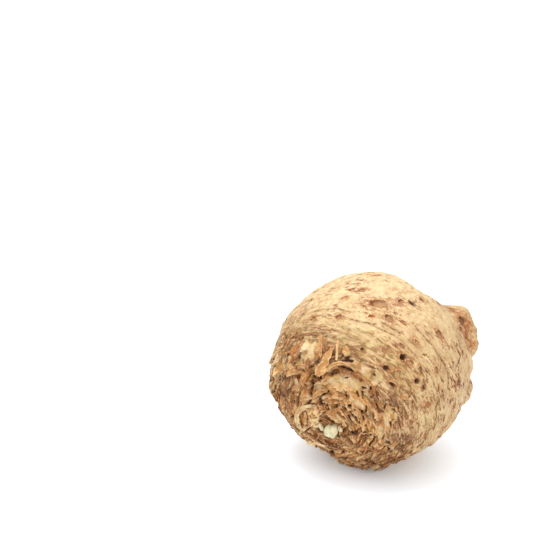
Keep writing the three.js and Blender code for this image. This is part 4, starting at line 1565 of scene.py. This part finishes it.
def skin_colour(g, place, ring_place, near_crown):
    """The pale skin with its crisp reddish marks, for the skin itself and where it shows in the crown."""
    smudges = g.stretched(ring_place, (0.10, 0.10, 0.42), detail=6, roughness=0.62, distortion=0.6)
    streaks = g.stretched(ring_place, (0.22, 0.22, 2.2), detail=5, roughness=0.6, distortion=0.6)
    patches = g.noise(place, 0.07, detail=5, roughness=0.6, distortion=0.5)
    mottle = g.noise(place, 0.36, detail=5, roughness=0.65)
    fine = g.noise(place, 0.75, detail=4, roughness=0.65)
    grit = g.noise(place, 1.7, detail=4, roughness=0.7)
    colour = g.mix(g.span(patches, 0.36, 0.64), CREAM, TAN)
    colour = g.coats(colour, [
        (mottle, 0.50, 0.30, 0.55, LIT_CREAM),
        (smudges, 0.50, 0.72, 0.42, PINK_BROWN),
        (fine, 0.55, 0.70, 0.25, PINK_BROWN),
        (fine, 0.47, 0.32, 0.40, LIT_CREAM),
        (streaks, 0.56, 0.70, 0.38, BROWN),
    ])
    scuffs = g.noise(place, 0.11, detail=3, roughness=0.6, distortion=0.8)
    marks = g.stretched(ring_place, (0.24, 0.24, 0.80), detail=3, roughness=0.6, distortion=0.9)
    marks = g.plus(marks, g.times(near_crown, 0.08))
    marks = g.shaken(marks, scuffs, 0.60)
    colour = g.coats(colour, [
        (marks, 0.55, 0.62, 0.70, RED_TAN),
        (marks, 0.61, 0.64, 0.90, RED_BROWN),
        (marks, 0.67, 0.70, 0.80, DARK_BROWN),
    ])
    dashes = g.stretched(ring_place, (0.30, 0.30, 2.6), detail=2, roughness=0.5, distortion=0.4)
    colour = g.mix(g.span(dashes, 0.64, 0.68, 0, 0.60), colour, BROWN)
    torn = g.stretched(ring_place, (0.16, 0.16, 0.62), detail=6, roughness=0.68, distortion=1.0)
    torn = g.plus(torn, g.times(near_crown, 0.12))
    colour = g.coats(colour, [
        (torn, 0.58, 0.66, 0.75, PINK_BROWN),
        (torn, 0.64, 0.72, 0.85, BROWN),
        (torn, 0.71, 0.78, 0.80, DARK_BROWN),
    ])
    height = g.plus(g.times(streaks, 0.9), g.times(grit, 0.5))
    height = g.plus(height, g.times(smudges, 0.8))
    height = g.minus(height, g.times(g.span(torn, 0.62, 0.74), 0.8))
    height = g.minus(height, g.times(g.span(marks, 0.60, 0.68), 0.4))
    return colour, height, grit, mottle


def scar_colours(g, colour, ring_place, grit, mottle):
    """Root scars: a crisp dark rim with painted shade that makes it heavier on the upper left side, a mottled
    floor, painted shade in the middle of the darkest ones, and reddish smears round them.
    """
    tone = g.field("scar_tone")
    share = g.shaken(g.field("scar_share"), grit, 0.7)
    share = g.shaken(share, mottle, 1.1)
    smear = g.stretched(ring_place, (0.35, 0.35, 1.1), detail=4, roughness=0.65, distortion=0.8)
    smeared = g.times(g.span(share, 1.2, 3.4, 1, 0), g.span(smear, 0.47, 0.55))
    colour = g.mix(g.times(smeared, 0.8), colour, RED_TAN)
    smeared = g.times(g.span(share, 1.1, 2.8, 1, 0), g.span(smear, 0.55, 0.60))
    colour = g.mix(g.times(smeared, 0.85), colour, RED_BROWN)
    # Painted shade: the dark rim is made heavier on each scar's upper left side
    shade_crescent = g.span(g.field("scar_shade_side"), -0.6, 0.5, 0.55, 1)
    rim_colour = g.ramp(tone, [(0.25, DARK_BROWN), (0.5, RED_BROWN)])
    colour = g.mix(g.times(g.span(share, 1.00, 1.10, 0.95, 0), shade_crescent), colour, rim_colour)
    floor_colour = g.ramp(tone, [(0.16, DARK_BROWN), (0.30, SCAR_TAN), (0.80, TAN), (1.0, ORANGE)])
    floor_colour = g.mix(g.span(grit, 0.48, 0.58, 0, 0.7), floor_colour, BROWN)
    colour = g.mix(g.span(share, 0.62, 0.74, 0.95, 0), colour, floor_colour)
    # Painted shade in the middle of the darkest scars
    deep = g.times(g.span(share, 0.35, 0.60, 0.6, 0), g.span(tone, 0.14, 0.24, 1, 0))
    return g.mix(deep, colour, HOLE_SHADE)


def skin_material():
    g = Graph("celeriac_skin")
    place = g.place()
    ring_place = g.field("ring_place", vector=True)
    colour, height, grit, mottle = skin_colour(g, place, ring_place, g.field("near_crown"))
    colour = g.mix(g.times(g.field("green"), 0.45, clamp=True), colour, YELLOW_GREEN)
    # Painted light: paler cream towards the top of the body, broken up by the mottle
    colour = g.mix(g.times(g.field("top"), g.span(mottle, 0.62, 0.40)), colour, LIT_CREAM)
    speck_gap = g.cell_gap(place, 0.34)
    speck_size = g.span(g.noise(place, 0.12, detail=2), 0.42, 0.75, 0.04, 0.24)
    specks = g.math("LESS_THAN", speck_gap, speck_size)
    colour = g.mix(g.times(specks, 0.5), colour, BROWN)
    bark = g.noise(place, 0.34, detail=5, roughness=0.65, distortion=1.0)
    knob = g.times(g.field("knob"), g.span(mottle, 0.35, 0.6, 0.6, 1.0), clamp=True)
    colour = g.mix(g.times(knob, 0.6), colour, PINK_BROWN)
    colour = g.mix(g.times(knob, g.span(bark, 0.44, 0.50)), colour, AMBER)
    colour = g.mix(g.times(knob, g.span(bark, 0.51, 0.57)), colour, BROWN)
    colour = g.mix(g.times(knob, g.span(bark, 0.60, 0.66)), colour, DARK_BROWN)
    colour = g.mix(g.times(knob, g.span(bark, 0.41, 0.35, 0, 0.8)), colour, CREAM)
    worn = g.stretched(ring_place, (0.09, 0.09, 0.3), detail=5, roughness=0.7)
    shaky = g.times(g.minus(g.noise(place, 0.9, detail=3), 0.5), 0.9)
    thin = g.plus(g.field("ring_gap"), shaky)
    # Painted shadow: a thin dark line along the step of each old leaf base's ring
    ring_shadow_line = g.times(g.span(thin, 0.05, 0.50, 1, 0), g.span(worn, 0.46, 0.60))
    colour = g.mix(g.times(ring_shadow_line, 0.75), colour, BROWN)
    # Painted shadow: a dark line along the step of each seen ring edge, in a soft pinkish brown band
    seen = g.plus(g.field("seen_gap"), g.times(shaky, 0.6))
    seen_ring_shadow_line = g.times(g.span(seen, 0.10, 0.45, 1, 0), g.span(worn, 0.36, 0.50, 0.15, 1))
    colour = g.mix(g.span(seen, 0.2, 1.6, 0.25, 0), colour, PINK_BROWN)
    colour = g.mix(g.times(seen_ring_shadow_line, 0.9), colour, DARK_BROWN)
    shreds = g.stretched(ring_place, (0.25, 0.25, 0.9), detail=6, roughness=0.7, distortion=0.8)
    husk = g.ramp(shreds, [
        (0.28, DARK_BROWN),
        (0.42, BROWN),
        (0.55, TORN_TAN),
        (0.80, TORN_LIGHT),
    ])
    colour = g.mix(g.span(g.field("crown"), 0.80, 0.98), colour, husk)
    colour = scar_colours(g, colour, ring_place, grit, mottle)
    low = g.span(seen_ring_shadow_line, 0, 1, 1, 0)
    height = g.plus(height, g.times(low, 0.5))
    return g.finish(colour, g.span(mottle, 0.3, 0.8, 0.55, 0.78), height, strength=0.6, distance=0.0006)


def crown_material():
    g = Graph("crown_ground_look")
    place = g.place()
    ring_place = g.field("ring_place", vector=True)
    skin, *_ = skin_colour(g, place, ring_place, g.field("near_crown"))
    threads = g.stretched(ring_place, (0.30, 0.30, 1.5), detail=6, roughness=0.68, distortion=0.7)
    blotches = g.noise(place, 0.16, detail=4)
    grit = g.noise(place, 1.6, detail=4, roughness=0.7)
    tone = g.plus(g.times(g.field("tone"), 0.30), g.times(threads, 1.1))
    tone = g.shaken(tone, blotches, 0.6)
    colour = g.ramp(tone, [
        (0.41, DARK_BROWN),
        (0.51, BROWN),
        (0.61, TORN_TAN),
        (0.73, TORN_LIGHT),
        (0.87, STRAW),
        (1.0, LIT_CREAM),
    ])
    rust = g.noise(place, 0.22, detail=3)
    colour = g.mix(g.span(rust, 0.58, 0.72, 0, 0.5), colour, AMBER)
    # Painted highlight along the torn edges of the plates
    colour = g.mix(g.times(g.field("edge"), 0.7), colour, EDGE_LIGHT)
    # Painted shade where the ground lies low between the plates
    low = g.span(g.field("relief"), -1.4, 0.6, 0.7, 0)
    colour = g.mix(low, colour, DARK_BROWN)
    # Painted shade in the dip before each plate's edge
    colour = g.mix(g.times(g.field("gap"), 0.75, clamp=True), colour, DARK_BROWN)
    light_skin = g.mix(g.span(g.noise(place, 0.22, detail=3), 0.58, 0.42), LIT_CREAM, YELLOW_GREEN)
    light_skin = g.mix(g.span(grit, 0.42, 0.62, 0.25, 0.7), light_skin, skin)
    colour = g.mix(g.times(g.field("pale"), 0.95), colour, light_skin)
    ragged = g.noise(place, 0.7, detail=3, roughness=0.6)
    near = g.shaken(g.field("gap_share"), grit, 1.0)
    near = g.shaken(near, ragged, 2.2)
    # Painted shade in and round the gaps between the torn leaf bases: brown round each and near-black inside
    colour = g.mix(g.span(near, 0.9, 2.1, 0.5, 0), colour, BROWN)
    colour = g.mix(g.span(near, 0.60, 1.3, 0.86, 0), colour, HOLE_SHADE)
    height = g.plus(threads, g.times(grit, 0.6))
    return g.finish(colour, g.span(threads, 0.3, 0.7, 0.62, 0.82), height, strength=0.7, distance=0.0005)


def shoot_material():
    g = Graph("young_shoot")
    grain = g.field("grain", vector=True)
    veins = g.stretched(grain, (1.6, 0.5, 1.6), detail=4, roughness=0.6)
    blotches = g.noise(g.place(), 0.45, detail=4)
    base = g.mix(g.field("tone"), MINT, MINT_CREAM)
    colour = g.mix(g.span(veins, 0.46, 0.66, 0, 0.8), base, LIT_CREAM)
    colour = g.mix(g.span(blotches, 0.50, 0.70, 0, 0.55), colour, MINT_SHADE)
    colour = g.mix(g.span(g.field("tip"), 0.40, 0.05, 0, 0.75), colour, MINT_SHADE)
    # Painted shade on the lobes' undersides
    colour = g.mix(g.span(g.field("low"), 0.25, 0.75, 0, 0.9), colour, MINT_SHADE)
    colour = g.mix(g.span(veins, 0.40, 0.30, 0, 0.45), colour, TORN_TAN)
    return g.finish(colour, 0.42, veins, strength=0.6, distance=0.0005, specular=0.4)


def cup_material():
    g = Graph("cut_stalk_cup")
    grain = g.field("grain", vector=True)
    fibres = g.stretched(grain, (1.8, 0.35, 1.0), detail=4, roughness=0.6)
    blotches = g.noise(g.place(), 0.35, detail=4)
    green = g.mix(g.field("tone"), CUP_GREEN, STRAW)
    colour = g.mix(g.span(fibres, 0.38, 0.62), green, LIT_CREAM)
    colour = g.mix(g.span(blotches, 0.50, 0.66, 0, 0.8), colour, TORN_TAN)
    # Painted highlight along the rims of the cup's sheets
    colour = g.mix(g.times(g.field("rim"), 0.6, clamp=True), colour, LIT_CREAM)
    return g.finish(colour, 0.6, fibres, strength=0.5, distance=0.0003)


def root_material():
    g = Graph("cut_root_look")
    grain = g.field("grain", vector=True)
    furrows = g.stretched(grain, (0.9, 0.12, 0.9), detail=5, roughness=0.6)
    blotches = g.noise(g.place(), 0.25, detail=4)
    bark = g.ramp(furrows, [(0.30, BROWN), (0.45, PINK_BROWN), (0.60, TAN), (0.75, CREAM)])
    bark = g.mix(g.span(blotches, 0.5, 0.75, 0, 0.6), bark, BROWN)
    rings = g.stretched(grain, (0.5, 0.5, 0.5), detail=5, roughness=0.7)
    face = g.mix(g.span(rings, 0.35, 0.7), STRAW, PINK_BROWN)
    face = g.mix(g.span(g.field("share"), 0.72, 0.95, 0, 0.8), face, BROWN)
    face = g.mix(g.span(g.field("share"), 0.30, 0.05, 0, 0.7), face, BROWN)
    colour = g.mix(g.span(g.field("cut"), 0.4, 0.6), bark, face)
    return g.finish(colour, 0.7, furrows, strength=0.5, distance=0.0006)


def sheet_material():
    g = Graph("torn_sheets")
    grain = g.field("grain", vector=True)
    fibres = g.stretched(grain, (2.0, 0.35, 1.0), detail=4, roughness=0.6)
    blotches = g.noise(g.place(), 0.25, detail=4)
    tone = g.plus(g.times(g.field("tone"), 0.40), g.times(fibres, 0.70))
    tone = g.shaken(tone, blotches, 0.6)
    colour = g.ramp(tone, [
        (0.32, DARK_BROWN),
        (0.46, BROWN),
        (0.58, TORN_TAN),
        (0.72, TORN_LIGHT),
        (0.88, STRAW),
        (1.0, LIT_CREAM),
    ])
    stripes = g.stretched(grain, (4.5, 0.5, 1.0), detail=3, roughness=0.6)
    colour = g.coats(colour, [
        (stripes, 0.50, 0.62, 0.7, BROWN),
        (stripes, 0.42, 0.32, 0.4, EDGE_LIGHT),
    ])
    # Painted highlight along the sheets' rims, broken up by noise
    broken = g.span(g.noise(g.place(), 0.6, detail=3), 0.42, 0.56)
    bright = g.times(g.field("rim"), 0.85, clamp=True)
    colour = g.mix(g.times(bright, broken), colour, EDGE_LIGHT)
    colour = g.mix(g.times(g.field("amber"), 0.5), colour, AMBER)
    # Painted shade: darker where a sheet lies low on the skin
    colour = g.mix(g.span(g.field("rise"), -0.8, 0.8, 0.55, 0), colour, DARK_BROWN)
    return g.finish(colour, 0.68, fibres, strength=0.5, distance=0.0003)


def white_material(name, scale, colours, roughness, glow):
    """Plain white with a faint tint, for the table top and the wall."""
    g = Graph(name)
    tint = g.noise(g.place(), scale, detail=2)
    colour = g.mix(g.span(tint, 0.3, 0.7, 0, 0.3), *colours)
    return g.finish(colour, roughness, specular=0.2, glow=glow)


# Stage, lights and camera
def add_stage(name, places, faces, material):
    mesh = bpy.data.meshes.new(name)
    mesh.from_pydata(places, [], faces)
    mesh.materials.append(material)
    piece = bpy.data.objects.new(name, mesh)
    bpy.context.scene.collection.objects.link(piece)


def build_floor():
    half = FLOOR_HALF
    corners = [(-half, -half, 0), (half, -half, 0), (half, half, 0), (-half, half, 0)]
    colours = (linear(243, 249, 255), linear(240, 247, 255))
    add_stage("table_top", corners, [(0, 1, 2, 3)], white_material("white_table", 0.02, colours, 0.6, 0.13))


def build_far_wall():
    """A low pale wall far away, so that the floor ends in no dark strip when it is seen from low down."""
    turn = np.linspace(0, 2 * math.pi, FAR_WALL["sides"], endpoint=False)
    foot = np.stack([np.cos(turn), np.sin(turn), 0 * turn], axis=-1) * FAR_WALL["radius"]
    corner = np.arange(len(turn))
    after = np.roll(corner, -1)
    faces = np.stack([corner, after, after + len(turn), corner + len(turn)], axis=-1)
    places = np.concatenate([foot, foot + UP * FAR_WALL["height"]])
    colours = (linear(250, 251, 253), linear(246, 249, 253))
    material = white_material("white_wall", 0.0005, colours, 0.8, 0.75)
    add_stage("far_wall", places.tolist(), faces.tolist(), material)


def add_light(name, place, aim, size, power):
    light = bpy.data.lights.new(name, "AREA")
    light.shape = "DISK"
    light.size = size
    light.energy = power
    lamp = bpy.data.objects.new(name, light)
    lamp.location = place
    lamp.rotation_euler = (Vector(aim) - Vector(place)).to_track_quat("-Z", "Y").to_euler()
    bpy.context.scene.collection.objects.link(lamp)


def build_lights():
    for lamp in LAMPS:
        add_light(**lamp, aim=tuple(BODY_CENTRE * MM))
    world = bpy.data.worlds.new("soft_room")
    world.use_nodes = True
    nodes, links = world.node_tree.nodes, world.node_tree.links
    place = nodes.new("ShaderNodeTexCoord")
    split = nodes.new("ShaderNodeSeparateXYZ")
    links.new(place.outputs["Generated"], split.inputs["Vector"])
    both = nodes.new("ShaderNodeMath")
    both.operation = "MULTIPLY"
    spans = [
        ("Z", ROOM["low"], ROOM["high"], ROOM["dim"], ROOM["bright"]),
        ("X", -1, 1, ROOM["left"], ROOM["right"]),
    ]
    for factor, (axis, *span) in enumerate(spans):
        node = nodes.new("ShaderNodeMapRange")
        for end, value in zip(("From Min", "From Max", "To Min", "To Max"), span):
            node.inputs[end].default_value = value
        links.new(split.outputs[axis], node.inputs["Value"])
        links.new(node.outputs["Result"], both.inputs[factor])
    background = nodes["Background"]
    links.new(both.outputs["Value"], background.inputs["Strength"])
    background.inputs["Color"].default_value = (1, 1, 1, 1)
    bpy.context.scene.world = world
    bpy.context.scene.view_settings.view_transform = "Standard"


def build_camera():
    """Looks down at the picture's angle, with the body's middle on its pixel of the picture."""
    data = bpy.data.cameras.new("camera")
    data.lens = LENS
    data.sensor_width = SENSOR
    camera = bpy.data.objects.new("camera", data)
    camera.location = CAMERA_PLACE * MM
    camera.rotation_euler = (math.pi / 2 - VIEW_ELEVATION, 0, 0)
    bpy.context.scene.collection.objects.link(camera)
    bpy.context.scene.camera = camera


sheet_look = sheet_material()
root_look = root_material()
build_skin(skin_material())
build_crown_ground(crown_material())
cup_look = cup_material()
build_sheets("seen_sheets", sheet_look, seen_sheets(SEEN_SHEETS), SEEN_FINE["across"], SEEN_THICK)
build_sheets("cup_sheets", cup_look, seen_sheets(CUP_SHEETS), SEEN_FINE["cup"], SEEN_THICK)
for name, spec in DRAWN_SHEETS.items():
    build_sheets(name, sheet_look, drawn_sheets(spec), spec["across"], spec["thick"])
build_shoots(shoot_material())
build_roots("root_stubs", root_look, STUBS)
build_roots("rootlets", root_look, ROOTLETS)
build_floor()
build_far_wall()
build_lights()
build_camera()
